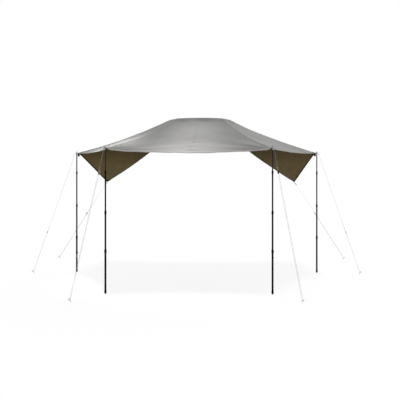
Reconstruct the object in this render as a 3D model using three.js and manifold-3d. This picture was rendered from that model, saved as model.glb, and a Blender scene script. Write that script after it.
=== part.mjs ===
// A vehicle side awning: a tensioned fabric canopy that falls from an arched rear edge to four
// telescopic poles, with two drooping rear wings, and six guy lines with tensioners and pegs.
// Millimetres, +Z up. X runs across the open front, which faces -Y, and the awning is symmetric
// about X = 0. The origin is on the ground, in the middle of the awning without its guy lines.

import * as THREE from 'three';
import { mergeVertices } from 'three/addons/utils/BufferGeometryUtils.js';
import Module from 'manifold-3d';

// Driving dimensions: where the corners of the canopy are. Depths run back from the near poles.
const poleHeight = 2150;
const nearHalfWidth = 1230;
const farHalfWidth = 2162;
const farDepth = 1807;
const wingHalfWidth = 1925;
const wingDepth = 3198;
const wingHeight = 1605;

// The arched rear edge, from its feet over the shoulders and the seams to its top.
const archDepth = 2965;
const archFootHalfWidth = 705;
const archFootHeight = 2450;
const shoulderHalfWidth = 620;
const shoulderHeight = 2850;
const seamHalfWidth = 450;
const seamHeight = 2885;
const archCrown = 12;

// How far each edge and seam hangs below its chord, and how far each hem is cut inwards.
const frontHemSag = 80;
const frontHemCut = 90;
const sideHemSag = 42;
const sideHemCut = 60;
const wingHemSag = 30;
const wingHemCut = 25;
const seamSag = 62;
const ridgeSag = 46;
const rearHemSag = 35;

// The cloth and what is sewn to it.
const clothThickness = 1.5;
const wingColumns = 6;
const sideColumns = 8;
const frontColumns = 14;
const clothRows = 12;
const kederRadius = 4;
const kederSteps = 28;
const kederSides = 8;
const kederGap = 1.2;
const tabWidth = 26;
const tabThickness = 3;
const tabCornerRadius = 5;
const tabCurveSteps = 6;
const tabOuterReach = 16;
const tabInnerReach = 26;
const tabHoleClearance = 0.7;
const sewnGap = 0.8;
const wingTabLength = 50;
const wingTabHoleClearance = 0.8;
const wingTabEndWall = 4;

// The telescopic poles. Each section slides in the one below it.
const lowestTubeRadius = 14.5;
const tubeWall = 1.3;
const runningGap = 0.3;
const roundSides = 20;
const lowerJointHeight = 640;
const middleJointHeight = 1210;
const upperJointHeight = 1800;
const tubeInsertion = 100;
const topTubeInsertion = 340;
const topPlugDepth = 25;
const spikeRadius = 4.5;
const spikeHeight = 34;
const spikeTaper = 6;
const spikeTipRadius = 2;

// The twist-lock collar on the upper end of each outer section.
const collarWall = 3;
const collarSkirt = 36;
const collarLip = 12;
const collarBevel = 2;

// The foot cap.
const footHeight = 46;
const footTaper = 22;
const footFloor = 12;
const footTipRadius = 12;
const footWall = 2.6;

// The small line hook that is clipped on the far left pole.
const hookHeight = 346;
const hookBand = 24;
const hookWall = 2.4;
const hookReach = 13;
const hookStemRadius = 4;
const hookHeadRadius = 6.5;
const hookHeadThickness = 4;

// The guy lines, their pegs and their tensioners. A line's reach is from its corner to its peg.
const lineRadius = 1.5;
const lineSides = 8;
const eyeTurn = THREE.MathUtils.degToRad(285);
const eyeGap = 0.4;
const eyeSteps = 12;
const overEdgeRadius = 8;
const overEdgeSteps = 5;
const wingEyeRadius = 8;
const pegTurnRadius = 8;
const pegTurnSteps = 8;
const pegRadius = 3.5;
const pegSides = 10;
const pegLean = THREE.MathUtils.degToRad(30);
const pegStub = 5;
const pegShaft = 46;
const pegCatch = 30;
const pegHookRadius = 9;
const pegHookSteps = 7;
const pegHookEnd = 8;
const runnerLength = 44;
const runnerThickness = 8;
const runnerWall = 3;
const runnerHoleClearance = 0.4;
const runnerCurveSteps = 4;
const lineTail = 60;
const nearPeg = { halfWidth: 1591, depth: -530, runnerShare: 0.83 };
const farPeg = { halfWidth: 2876, depth: 1645, runnerShare: 0.33 };
const wingPeg = { halfWidth: 2945, depth: 3359, runnerShare: 0.6 };

// Materials.
const cloth = new THREE.MeshStandardMaterial({ color: 0x9b9b99, roughness: 0.75, metalness: 0 });
const webbing = new THREE.MeshStandardMaterial({ color: 0x1c1c1c, roughness: 0.85, metalness: 0 });
const cordWhite = new THREE.MeshStandardMaterial({ color: 0xc9c9c5, roughness: 0.8, metalness: 0 });
const blackTube = new THREE.MeshStandardMaterial({ color: 0x161616, roughness: 0.4, metalness: 0.3 });
const greyTube = new THREE.MeshStandardMaterial({ color: 0x6f6f6f, roughness: 0.35, metalness: 0.9 });
const blackPlastic = new THREE.MeshStandardMaterial({ color: 0x111111, roughness: 0.55, metalness: 0 });
const blackRubber = new THREE.MeshStandardMaterial({ color: 0x141414, roughness: 0.8, metalness: 0 });
const pegSteel = new THREE.MeshStandardMaterial({ color: 0x77777a, roughness: 0.35, metalness: 0.9 });

const up = new THREE.Vector3(0, 0, 1);
const awning = new THREE.Group();
const lineNodes = [];

function add(name, geometry, material, parent = awning) {
  const mesh = new THREE.Mesh(geometry, material);
  mesh.name = name;
  parent.add(mesh);
  return mesh;
}

// A round solid about the Z axis from a profile of [radius, height] pairs.
function turned(profile, sides = roundSides) {
  const points = profile.map(([radius, height]) => new THREE.Vector2(radius, height));
  return new THREE.LatheGeometry(points, sides).rotateX(Math.PI / 2);
}

// A curve through chosen points, on which every extrusion step falls on one of the points.
class Route extends THREE.Curve {
  constructor(points) {
    super();
    this.points = points;
  }

  getPoint(share, target = new THREE.Vector3()) {
    const place = share * (this.points.length - 1);
    const before = Math.min(Math.floor(place), this.points.length - 2);
    return target.copy(this.points[before]).lerp(this.points[before + 1], place - before);
  }

  getPointAt(share, target) {
    return this.getPoint(share, target);
  }

  getTangentAt(share, target = new THREE.Vector3()) {
    const index = Math.round(share * (this.points.length - 1));
    const before = this.points[Math.max(index - 1, 0)];
    const after = this.points[Math.min(index + 1, this.points.length - 1)];
    const here = this.points[index];
    const arriving = here.clone().sub(before).normalize();
    const leaving = after.clone().sub(here).normalize();
    return target.copy(arriving).add(leaving).normalize();
  }
}

// A round bar along chosen points.
function bar(points, radius, sides) {
  const corners = [];
  for (let i = 0; i < sides; i += 1) {
    const angle = (2 * Math.PI * i) / sides;
    corners.push(new THREE.Vector2(radius * Math.cos(angle), radius * Math.sin(angle)));
  }
  return new THREE.ExtrudeGeometry(new THREE.Shape(corners), {
    steps: points.length - 1,
    extrudePath: new Route(points),
    bevelEnabled: false,
  });
}

// A flat plate with round corners in the XY plane, from x = start to x = end.
function plateShape(start, end, width, cornerRadius) {
  const half = width / 2;
  const shape = new THREE.Shape();
  shape.moveTo(start, -half);
  shape.lineTo(end - cornerRadius, -half);
  shape.absarc(end - cornerRadius, -half + cornerRadius, cornerRadius, -Math.PI / 2, 0, false);
  shape.absarc(end - cornerRadius, half - cornerRadius, cornerRadius, 0, Math.PI / 2, false);
  shape.lineTo(start, half);
  shape.closePath();
  return shape;
}

function punch(shape, x, y, radius) {
  const hole = new THREE.Path();
  hole.absarc(x, y, radius, 0, 2 * Math.PI, true);
  shape.holes.push(hole);
}

// Solids for manifold-3d.
const wasm = await Module();
wasm.setup();

function toManifold(geometry) {
  const bare = geometry.clone();
  bare.deleteAttribute('normal');
  bare.deleteAttribute('uv');
  const merged = mergeVertices(bare);
  return new wasm.Manifold(new wasm.Mesh({
    numProp: 3,
    vertProperties: merged.attributes.position.array,
    triVerts: new Uint32Array(merged.index.array),
  }));
}

function fromManifold(solid) {
  const mesh = solid.getMesh();
  const geometry = new THREE.BufferGeometry();
  geometry.setAttribute('position', new THREE.BufferAttribute(mesh.vertProperties, mesh.numProp));
  geometry.setIndex(new THREE.BufferAttribute(mesh.triVerts, 1));
  return geometry;
}

// A corner of the awning on one side, -1 left or 1 right. It has the place of its pole or loop, and
// the direction and the distance to the peg of its guy line.
function corner(side, halfWidth, depth, height, peg) {
  const place = new THREE.Vector3(side * halfWidth, depth, height);
  const pegPlace = new THREE.Vector3(side * peg.halfWidth, peg.depth, 0);
  const outward = pegPlace.clone().sub(place).setZ(0);
  const reach = outward.length();
  outward.normalize();
  return { side, place, outward, reach, runnerShare: peg.runnerShare };
}

// The tip of the cloth is next to the pole at a pole's corner, and in the corner itself on a wing.
function cornersOf(side) {
  const near = corner(side, nearHalfWidth, 0, poleHeight, nearPeg);
  const far = corner(side, farHalfWidth, farDepth, poleHeight, farPeg);
  const wing = corner(side, wingHalfWidth, wingDepth, wingHeight, wingPeg);
  for (const post of [near, far]) {
    post.tip = post.place.clone().addScaledVector(post.outward, -tabInnerReach);
    post.tip.z -= tabThickness / 2;
  }
  wing.tip = wing.place;
  return { near, far, wing };
}

const left = cornersOf(-1);
const right = cornersOf(1);

// The cloth is one grid. Its ribs run from the front and side corners up to the arch, and the
// bays between the ribs hang a little and have hems that are cut inwards.
function archPoint(side, halfWidth, height) {
  return new THREE.Vector3(side * halfWidth, archDepth, height);
}

const ribs = [
  { front: left.wing.tip, arch: archPoint(-1, archFootHalfWidth, archFootHeight), sag: rearHemSag },
  { front: left.far.tip, arch: archPoint(-1, shoulderHalfWidth, shoulderHeight), sag: ridgeSag },
  { front: left.near.tip, arch: archPoint(-1, seamHalfWidth, seamHeight), sag: seamSag },
  { front: right.near.tip, arch: archPoint(1, seamHalfWidth, seamHeight), sag: seamSag },
  { front: right.far.tip, arch: archPoint(1, shoulderHalfWidth, shoulderHeight), sag: ridgeSag },
  { front: right.wing.tip, arch: archPoint(1, archFootHalfWidth, archFootHeight), sag: rearHemSag },
];

const bays = [
  { columns: wingColumns, sag: wingHemSag, cut: wingHemCut, crown: 0 },
  { columns: sideColumns, sag: sideHemSag, cut: sideHemCut, crown: 0 },
  { columns: frontColumns, sag: frontHemSag, cut: frontHemCut, crown: archCrown },
  { columns: sideColumns, sag: sideHemSag, cut: sideHemCut, crown: 0 },
  { columns: wingColumns, sag: wingHemSag, cut: wingHemCut, crown: 0 },
];

// A parabola that is 0 at both ends of a span and 1 in its middle.
function bow(share) {
  return 4 * share * (1 - share);
}

function ribPoint(rib, along) {
  const point = rib.front.clone().lerp(rib.arch, along);
  point.z -= rib.sag * bow(along);
  return point;
}

// The middle of the cloth, across a bay and along it from the hem (0) to the arch (1).
function clothPoint(bayIndex, across, along) {
  const bay = bays[bayIndex];
  const [from, to] = [ribs[bayIndex], ribs[bayIndex + 1]];
  const length = from.front.distanceTo(from.arch);
  const cutAlong = along + (1 - along) * bow(across) * (bay.cut / length);
  const point = ribPoint(from, cutAlong).lerp(ribPoint(to, cutAlong), across);
  point.z -= bay.sag * bow(across) * (1 - along) ** 2;
  point.z += bay.crown * bow(across) * along ** 2;
  return point;
}

function clothColumns() {
  const columns = [];
  bays.forEach((bay, bayIndex) => {
    const first = bayIndex === 0 ? 0 : 1;
    for (let i = first; i <= bay.columns; i += 1) {
      columns.push([bayIndex, i / bay.columns]);
    }
  });
  return columns;
}

function canopyGeometry() {
  const columns = clothColumns();
  const wide = columns.length;
  const middle = [];
  for (let row = 0; row <= clothRows; row += 1) {
    for (const [bayIndex, across] of columns) {
      middle.push(clothPoint(bayIndex, across, row / clothRows));
    }
  }
  const faces = [];
  for (let row = 0; row < clothRows; row += 1) {
    for (let column = 0; column < wide - 1; column += 1) {
      const corner00 = row * wide + column;
      const corner01 = corner00 + wide;
      faces.push(corner00, corner00 + 1, corner01 + 1, corner00, corner01 + 1, corner01);
    }
  }
  const sheet = new THREE.BufferGeometry().setFromPoints(middle);
  sheet.setIndex(faces);
  sheet.computeVertexNormals();
  const normals = sheet.attributes.normal;
  const points = [];
  for (const face of [1, -1]) {
    middle.forEach((point, i) => {
      const normal = new THREE.Vector3().fromBufferAttribute(normals, i);
      points.push(point.clone().addScaledVector(normal, (face * clothThickness) / 2));
    });
  }
  const count = middle.length;
  const closed = [...faces];
  for (let i = 0; i < faces.length; i += 3) {
    closed.push(faces[i] + count, faces[i + 2] + count, faces[i + 1] + count);
  }
  for (const [a, b] of rimEdges(wide, clothRows + 1)) {
    closed.push(a, a + count, b + count, a, b + count, b);
  }
  const solid = new THREE.BufferGeometry().setFromPoints(points);
  solid.setIndex(closed);
  return solid;
}

// The edges round a grid, counter-clockwise seen from above.
function rimEdges(wide, deep) {
  const count = (length, makeIndex) => Array.from({ length }, (_, i) => makeIndex(i));
  const loop = [
    ...count(wide - 1, (i) => i),
    ...count(deep - 1, (j) => j * wide + wide - 1),
    ...count(wide - 1, (i) => deep * wide - 1 - i),
    ...count(deep - 1, (j) => (deep - 1 - j) * wide),
  ];
  return loop.map((a, i) => [a, loop[(i + 1) % loop.length]]);
}

// The welt cord that is sewn along the arched rear edge and slides into a rail.
function kederGeometry() {
  const columns = clothColumns();
  const edge = columns.map(([bayIndex, across]) => clothPoint(bayIndex, across, 1));
  edge.forEach((point) => point.setY(point.y + kederRadius + kederGap));
  const curve = new THREE.CatmullRomCurve3(edge, false, 'centripetal');
  return bar(curve.getSpacedPoints(kederSteps), kederRadius, kederSides);
}

// A pole stands on z = 0 of its own group. Its four tubes get thinner from the ground up.
const tubeStep = tubeWall + runningGap;
const middleTubeRadius = lowestTubeRadius - tubeStep;
const upperTubeRadius = middleTubeRadius - tubeStep;
const topTubeRadius = upperTubeRadius - tubeStep;
const tubeTop = poleHeight - tabThickness - runningGap;

function tubeGeometry(radius, bottom, top) {
  const bore = radius - tubeWall;
  return turned([[bore, bottom], [radius, bottom], [radius, top], [bore, top], [bore, bottom]]);
}

function topTubeGeometry() {
  const bore = topTubeRadius - tubeWall;
  const bottom = upperJointHeight - topTubeInsertion;
  const spikeTop = poleHeight + spikeHeight;
  return turned([
    [0, tubeTop - topPlugDepth],
    [bore, tubeTop - topPlugDepth],
    [bore, bottom],
    [topTubeRadius, bottom],
    [topTubeRadius, tubeTop],
    [spikeRadius, tubeTop],
    [spikeRadius, spikeTop - spikeTaper],
    [spikeTipRadius, spikeTop],
    [0, spikeTop],
  ]);
}

function collarGeometry(outerRadius, innerRadius, joint) {
  const grip = outerRadius + runningGap + collarWall;
  const bottom = joint - collarSkirt;
  const top = joint + collarLip;
  const outerBore = outerRadius + runningGap;
  const innerBore = innerRadius + runningGap;
  return turned([
    [outerBore, bottom],
    [grip - collarBevel, bottom],
    [grip, bottom + collarBevel],
    [grip, top - collarBevel],
    [grip - collarBevel, top],
    [innerBore, top],
    [innerBore, joint + runningGap],
    [outerBore, joint + runningGap],
    [outerBore, bottom],
  ]);
}

function footGeometry() {
  const bore = lowestTubeRadius + runningGap;
  return turned([
    [0, 0],
    [footTipRadius, 0],
    [bore + footWall, footTaper],
    [bore + footWall, footHeight],
    [bore, footHeight],
    [bore, footFloor],
    [0, footFloor],
  ]);
}

function addPole(prefix, post) {
  const pole = new THREE.Group();
  pole.position.set(post.place.x, post.place.y, 0);
  awning.add(pole);
  add(`${prefix}_top_tube`, topTubeGeometry(), greyTube, pole);
  const tubes = [
    ['upper_tube', upperTubeRadius, middleJointHeight - tubeInsertion, upperJointHeight],
    ['middle_tube', middleTubeRadius, lowerJointHeight - tubeInsertion, middleJointHeight],
    ['lower_tube', lowestTubeRadius, footFloor + runningGap, lowerJointHeight],
  ];
  for (const [name, radius, bottom, top] of tubes) {
    add(`${prefix}_${name}`, tubeGeometry(radius, bottom, top), blackTube, pole);
  }
  const collars = [
    ['top_collar', upperTubeRadius, topTubeRadius, upperJointHeight],
    ['middle_collar', middleTubeRadius, upperTubeRadius, middleJointHeight],
    ['lower_collar', lowestTubeRadius, middleTubeRadius, lowerJointHeight],
  ];
  for (const [name, outer, inner, joint] of collars) {
    add(`${prefix}_${name}`, collarGeometry(outer, inner, joint), blackPlastic, pole);
  }
  add(`${prefix}_foot`, footGeometry(), blackRubber, pole);
}

// A clip round a pole with a mushroom-headed peg, to wind spare line on.
function lineHookGeometry() {
  const bore = lowestTubeRadius + runningGap;
  const outside = bore + hookWall;
  const bottom = -hookBand / 2;
  const top = hookBand / 2;
  const band = turned([[bore, bottom], [outside, bottom], [outside, top], [bore, top], [bore, bottom]]);
  const head = outside + hookReach;
  const stem = turned([
    [0, outside - hookWall / 2],
    [hookStemRadius, outside - hookWall / 2],
    [hookStemRadius, head - hookHeadThickness],
    [hookHeadRadius, head - hookHeadThickness / 2],
    [hookStemRadius, head],
    [0, head],
  ]).rotateY(Math.PI / 2);
  return fromManifold(toManifold(band).add(toManifold(stem)));
}

// A guy line lives in a group whose X axis points from its corner to its peg. The line's run is in
// a vertical plane, so it is worked out on X and Z. In the middle of its catch the line lies on the
// leaning shaft of the peg.
function pegCatchPoint(reach) {
  const x = reach + pegCatch * Math.sin(pegLean);
  const z = pegStub + pegCatch * Math.cos(pegLean);
  return new THREE.Vector3(x, 0, z);
}

// The slope of a line that comes off the top of a circle and runs down to a point.
function slopeOff(centre, radius, target) {
  const across = target.x - centre.x;
  const down = centre.z - target.z;
  return Math.atan2(down, across) + Math.asin(radius / Math.hypot(across, down));
}

function arcPoints(steps, makePoint) {
  return Array.from({ length: steps + 1 }, (_, i) => makePoint(i / steps));
}

// The line's eye round the spike of a pole, and its bend over the end of the corner tab.
function spikeEye(post, catchPoint) {
  const eyeRadius = spikeRadius + lineRadius + eyeGap;
  const height = post.place.z + runningGap + lineRadius;
  const centre = new THREE.Vector3(tabOuterReach, 0, height - overEdgeRadius);
  const slope = slopeOff(centre, overEdgeRadius, catchPoint);
  const eye = arcPoints(eyeSteps, (share) => {
    const angle = eyeTurn * (1 - share);
    const x = -eyeRadius * Math.sin(angle);
    return new THREE.Vector3(x, post.side * eyeRadius * Math.cos(angle), height);
  });
  const overEdge = arcPoints(overEdgeSteps, (share) => {
    const angle = slope * share;
    const x = centre.x + overEdgeRadius * Math.sin(angle);
    const z = centre.z + overEdgeRadius * Math.cos(angle);
    return new THREE.Vector3(x, post.side * eyeRadius, z);
  });
  return { slope, lateral: eyeRadius, points: [...eye, ...overEdge] };
}

// The line's eye through the loop of a rear wing.
function wingEye(post, catchPoint) {
  const tip = new THREE.Vector3(0, 0, post.place.z);
  const tilt = Math.atan2(tip.z - catchPoint.z, catchPoint.x);
  const reach = sewnGap + wingTabLength - wingTabEndWall;
  const centre = new THREE.Vector3(reach * Math.cos(tilt), 0, tip.z - reach * Math.sin(tilt));
  const slope = slopeOff(centre, wingEyeRadius, catchPoint);
  const points = arcPoints(eyeSteps, (share) => {
    const angle = slope - eyeTurn * (1 - share);
    const x = centre.x + wingEyeRadius * Math.sin(angle);
    const z = centre.z + wingEyeRadius * Math.cos(angle);
    return new THREE.Vector3(x, 0, z);
  });
  return { slope, tilt, lateral: 0, points };
}

// The guy line goes down to its peg, round it, and back up through its runner to a short tail.
function lineRoute(post, eye, catchPoint) {
  const along = new THREE.Vector3(-Math.cos(eye.slope), 0, Math.sin(eye.slope));
  const crossing = Math.cos(eye.slope - pegLean);
  const seat = (lineRadius + pegRadius + runningGap) / crossing;
  const turnCentre = catchPoint.clone().addScaledVector(along, pegTurnRadius - seat);
  turnCentre.y = post.side * (eye.lateral - pegTurnRadius);
  const turn = arcPoints(pegTurnSteps, (share) => {
    const angle = Math.PI * share;
    const point = turnCentre.clone().addScaledVector(along, -pegTurnRadius * Math.sin(angle));
    point.y += post.side * pegTurnRadius * Math.cos(angle);
    return point;
  });
  const run = eye.points[eye.points.length - 1].distanceTo(turn[0]);
  const runnerCentre = turnCentre.clone().addScaledVector(along, run * post.runnerShare);
  const end = turn[pegTurnSteps].clone();
  end.addScaledVector(along, run * post.runnerShare + runnerLength / 2 + lineTail);
  return { along, turnCentre, runnerCentre, points: [...eye.points, ...turn, end] };
}

function pegGeometry() {
  const lean = new THREE.Vector3(Math.sin(pegLean), 0, Math.cos(pegLean));
  const foot = new THREE.Vector3(0, 0, 0);
  const stub = new THREE.Vector3(0, 0, pegStub);
  const head = stub.clone().addScaledVector(lean, pegShaft);
  const side = new THREE.Vector3(lean.z, 0, -lean.x);
  const centre = head.clone().addScaledVector(side, pegHookRadius);
  const hook = arcPoints(pegHookSteps, (share) => {
    const angle = Math.PI * share;
    const point = centre.clone().addScaledVector(side, -pegHookRadius * Math.cos(angle));
    return point.addScaledVector(lean, pegHookRadius * Math.sin(angle));
  });
  const end = hook[pegHookSteps].clone().addScaledVector(lean, -pegHookEnd);
  return bar([foot, stub, ...hook, end], pegRadius, pegSides);
}

// A tensioner: a flat block with two holes along it, one for each run of the line.
function runnerGeometry() {
  const width = 2 * (pegTurnRadius + lineRadius + runnerHoleClearance + runnerWall);
  const halfWidth = width / 2;
  const halfThickness = runnerThickness / 2;
  const outline = new THREE.Shape();
  outline.moveTo(-halfThickness, -halfWidth + halfThickness);
  outline.absarc(0, -halfWidth + halfThickness, halfThickness, Math.PI, 2 * Math.PI, false);
  outline.absarc(0, halfWidth - halfThickness, halfThickness, 0, Math.PI, false);
  outline.closePath();
  for (const side of [-1, 1]) {
    punch(outline, 0, side * pegTurnRadius, lineRadius + runnerHoleClearance);
  }
  const block = new THREE.ExtrudeGeometry(outline, {
    depth: runnerLength,
    curveSegments: runnerCurveSteps,
    bevelEnabled: false,
  });
  return block.translate(0, 0, -runnerLength / 2);
}

function cornerTabGeometry() {
  const shape = plateShape(sewnGap - tabInnerReach, tabOuterReach, tabWidth, tabCornerRadius);
  punch(shape, 0, 0, spikeRadius + tabHoleClearance);
  return new THREE.ExtrudeGeometry(shape, {
    depth: tabThickness,
    curveSegments: tabCurveSteps,
    bevelEnabled: false,
  });
}

// The line's eye bears on the wall of the hole, so the hole starts where the eye's inside does.
function wingTabGeometry() {
  const end = sewnGap + wingTabLength;
  const shape = plateShape(sewnGap, end, tabWidth, tabCornerRadius);
  const holeRadius = lineRadius + wingTabHoleClearance;
  const seat = Math.sqrt((wingEyeRadius - lineRadius - runningGap) ** 2 - (tabThickness / 2) ** 2);
  punch(shape, end - wingTabEndWall - seat - holeRadius, 0, holeRadius);
  const tab = new THREE.ExtrudeGeometry(shape, {
    depth: tabThickness,
    curveSegments: tabCurveSteps,
    bevelEnabled: false,
  });
  return tab.translate(0, 0, -tabThickness / 2);
}

function addGuyLine(prefix, post) {
  const group = new THREE.Group();
  group.position.set(post.place.x, post.place.y, 0);
  group.rotation.z = Math.atan2(post.outward.y, post.outward.x);
  awning.add(group);
  const catchPoint = pegCatchPoint(post.reach);
  const onWing = prefix.endsWith('wing');
  const eye = onWing ? wingEye(post, catchPoint) : spikeEye(post, catchPoint);
  const route = lineRoute(post, eye, catchPoint);
  add(`${prefix}_guy_line`, bar(route.points, lineRadius, lineSides), cordWhite, group);
  const peg = add(`${prefix}_peg`, pegGeometry(), pegSteel, group);
  peg.position.set(post.reach, route.turnCentre.y, 0);
  const runner = add(`${prefix}_tensioner`, runnerGeometry(), blackPlastic, group);
  runner.position.copy(route.runnerCentre);
  runner.quaternion.setFromUnitVectors(up, route.along);
  lineNodes.push(`${prefix}_guy_line`, `${prefix}_peg`, `${prefix}_tensioner`);
  if (onWing) {
    const tab = add(`${prefix}_tab`, wingTabGeometry(), webbing, group);
    tab.position.z = post.place.z;
    tab.rotation.y = eye.tilt;
  } else {
    const tab = add(`${prefix}_tab`, cornerTabGeometry(), webbing, group);
    tab.position.z = post.place.z - tabThickness;
  }
}

// The origin goes to the middle of the ground under the awning, without its guy lines.
function moveToOrigin() {
  awning.updateMatrixWorld(true);
  const box = new THREE.Box3();
  for (const mesh of awning.getObjectsByProperty('isMesh', true)) {
    if (!lineNodes.includes(mesh.name)) {
      box.expandByObject(mesh, true);
    }
  }
  const middle = box.getCenter(new THREE.Vector3());
  awning.position.set(-middle.x, -middle.y, -box.min.z);
}

add('canopy', canopyGeometry(), cloth);
add('arch_keder', kederGeometry(), cordWhite);
const sides = [['left', left], ['right', right]];
for (const [sideName, corners] of sides) {
  addPole(`near_${sideName}`, corners.near);
  addPole(`far_${sideName}`, corners.far);
  addGuyLine(`near_${sideName}`, corners.near);
  addGuyLine(`far_${sideName}`, corners.far);
  addGuyLine(`${sideName}_wing`, corners.wing);
}
const lineHook = add('far_left_line_hook', lineHookGeometry(), blackPlastic);
lineHook.position.set(left.far.place.x, left.far.place.y, hookHeight);
moveToOrigin();

export default awning;
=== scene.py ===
# %% [markdown]
# # Dressing a vehicle side awning
#
# The CAD model is the frame: every pole, collar, foot, peg and tensioner already stands where it
# belongs. This lesson gives it its looks. The canopy becomes one tensioned sheet of coated cloth
# with hems, seams and folds, the guy lines become braided cord with knots, and every hard part
# gets a material of its own. All lengths are in metres, +Z is up and the open front faces -Y.

# %% The frame
import math

import bmesh
import bpy
import numpy as np
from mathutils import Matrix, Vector


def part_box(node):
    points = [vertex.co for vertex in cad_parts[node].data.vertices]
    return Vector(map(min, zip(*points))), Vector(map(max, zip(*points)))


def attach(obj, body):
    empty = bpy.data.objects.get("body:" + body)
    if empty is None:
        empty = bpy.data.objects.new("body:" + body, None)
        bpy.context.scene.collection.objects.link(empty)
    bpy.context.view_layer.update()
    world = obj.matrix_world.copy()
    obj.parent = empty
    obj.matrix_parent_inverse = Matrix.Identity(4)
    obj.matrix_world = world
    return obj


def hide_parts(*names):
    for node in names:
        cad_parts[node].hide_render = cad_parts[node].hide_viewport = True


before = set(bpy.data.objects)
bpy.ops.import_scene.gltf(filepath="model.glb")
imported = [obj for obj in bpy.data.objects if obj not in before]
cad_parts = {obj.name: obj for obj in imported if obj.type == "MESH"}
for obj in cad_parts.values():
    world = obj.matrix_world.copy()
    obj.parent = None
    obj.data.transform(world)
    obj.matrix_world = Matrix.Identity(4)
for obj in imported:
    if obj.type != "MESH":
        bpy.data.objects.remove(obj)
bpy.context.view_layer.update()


# %% [markdown]
# ## The camera
#
# A pitched awning is seen from a few steps away, with all four poles in the picture. The camera
# could be framed by eye. Here its place, its lens and a small shift of the picture were chosen so
# that the feet, the tops and the pegs land where the photograph has them. It stands about 8 m in
# front of the near poles, at eye level.

# %% The camera
near_low, near_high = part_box("near_left_foot")
NEAR_Y = (near_low.y + near_high.y) / 2
EYE = (0.604, NEAR_Y - 8.034, 1.748)
EYE_TURN = math.radians(1.07)
LENS_MM = 49.25
LENS_SHIFT = (-0.0491, -0.0623)

camera_data = bpy.data.cameras.new("photo_camera")
camera_data.sensor_width = 36.0
camera_data.lens = LENS_MM
camera_data.shift_x, camera_data.shift_y = LENS_SHIFT
camera = bpy.data.objects.new("photo_camera", camera_data)
camera.location = EYE
camera.rotation_euler = (math.radians(90), 0, EYE_TURN)
bpy.context.scene.collection.objects.link(camera)
bpy.context.scene.camera = camera
print("camera at", tuple(round(v, 3) for v in camera.location))

# %% [markdown]
# ## A piece of the awning
#
# Sewn and moulded parts could be built from primitives and modifiers. Here each is a mesh of points
# and faces made in code, because most of them follow the canopy's own formula. A piece rides on a
# body of the frame and takes the materials it is given. Whichever way its section was drawn, its
# faces end up turned outward.


# %% A piece
def make_piece(name, points, faces, body, materials, uvs=None, picks=None, flat=()):
    """A mesh piece. uvs has one pair for each corner of each face, in order, and picks one
    material index for each face. The faces in flat stay unsmoothed."""
    mesh = bpy.data.meshes.new(name)
    mesh.from_pydata([tuple(p) for p in points], [], [tuple(f) for f in faces])
    for material in materials:
        mesh.materials.append(material)
    smooth = np.ones(len(faces), bool)
    smooth[list(flat)] = False
    mesh.polygons.foreach_set("use_smooth", smooth)
    if picks is not None:
        mesh.polygons.foreach_set("material_index", np.asarray(picks, np.int32))
    if uvs is not None:
        layer = mesh.uv_layers.new(name="UVMap")
        layer.data.foreach_set("uv", np.asarray(uvs, np.float32).ravel())
    mesh.validate(clean_customdata=False)
    shell = bmesh.new()
    shell.from_mesh(mesh)
    bmesh.ops.recalc_face_normals(shell, faces=shell.faces)
    shell.to_mesh(mesh)
    shell.free()
    mesh.update()
    obj = bpy.data.objects.new(name, mesh)
    bpy.context.scene.collection.objects.link(obj)
    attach(obj, body)
    return obj


print("pieces can be made")

# %% [markdown]
# ## Rings of points
#
# A rope, a hem and a seam are each one section carried along a path. Blender's curves could do it
# with a bevel, but the weave and the stitches need UVs in metres, so the section is drawn as rings
# of points, and quads join each ring to the next.


# %% Rings of points
def ring_faces(rings, sides, closed=False):
    """Quads between rings of points. Where closed, the last ring joins the first."""
    faces = []
    for i in range(rings if closed else rings - 1):
        a, b = i * sides, ((i + 1) % rings) * sides
        for j in range(sides):
            k = (j + 1) % sides
            faces.append((a + j, a + k, b + k, b + j))
    return faces


def capped_rings(rings, sides):
    """As ring_faces, with a cap over the first ring and over the last."""
    last = (rings - 1) * sides
    return ring_faces(rings, sides) + [tuple(range(sides))[::-1], tuple(range(last, last + sides))]


def strip_uvs(around, run):
    """UVs for capped_rings. around has a u for each side and for the first again, and run has a v
    for each ring."""
    uvs = []
    for v0, v1 in zip(run, run[1:]):
        for u0, u1 in zip(around, around[1:]):
            uvs += [(u0, v0), (u1, v0), (u1, v1), (u0, v1)]
    return uvs + [(0, 0)] * (2 * (len(around) - 1))


def run_of(path):
    """The metres along a path at each of its points."""
    steps = np.linalg.norm(np.diff(path, axis=0), axis=1)
    return np.concatenate([[0], np.cumsum(steps)])


print("a square tube of two rings has", len(capped_rings(2, 4)), "faces")

# %% [markdown]
# ## Tubes and turned parts
#
# Cord is a round section along a path, and a collar, a foot or an eyelet is a profile spun about
# its pole. Both could come from curve and screw modifiers. `tube` carries its section with a frame
# that doesn't twist, so a braid keeps its lay, and `turned` can change a radius as it goes round,
# which cuts the grip flutes.

# %% Tubes and turned parts
NO_RUN = (0.31, 0.17, 0.93)  # a direction that no path of the awning starts along


def tube(path, radius, sides=10):
    """Points, faces and uvs of a round tube. u goes once round it and v is metres along it."""
    path = np.asarray(path, float)
    tangents = np.gradient(path, axis=0)
    tangents /= np.linalg.norm(tangents, axis=1)[:, None]
    side = np.cross(tangents[0], NO_RUN)
    side /= np.linalg.norm(side)
    points = []
    for here, tangent in zip(path, tangents):
        side = side - tangent * np.dot(side, tangent)
        side /= np.linalg.norm(side)
        other = np.cross(tangent, side)
        for j in range(sides):
            angle = 2 * math.pi * j / sides
            points.append(here + radius * (math.cos(angle) * side + math.sin(angle) * other))
    around = [j / sides for j in range(sides + 1)]
    return points, capped_rings(len(path), sides), strip_uvs(around, run_of(path))


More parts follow.
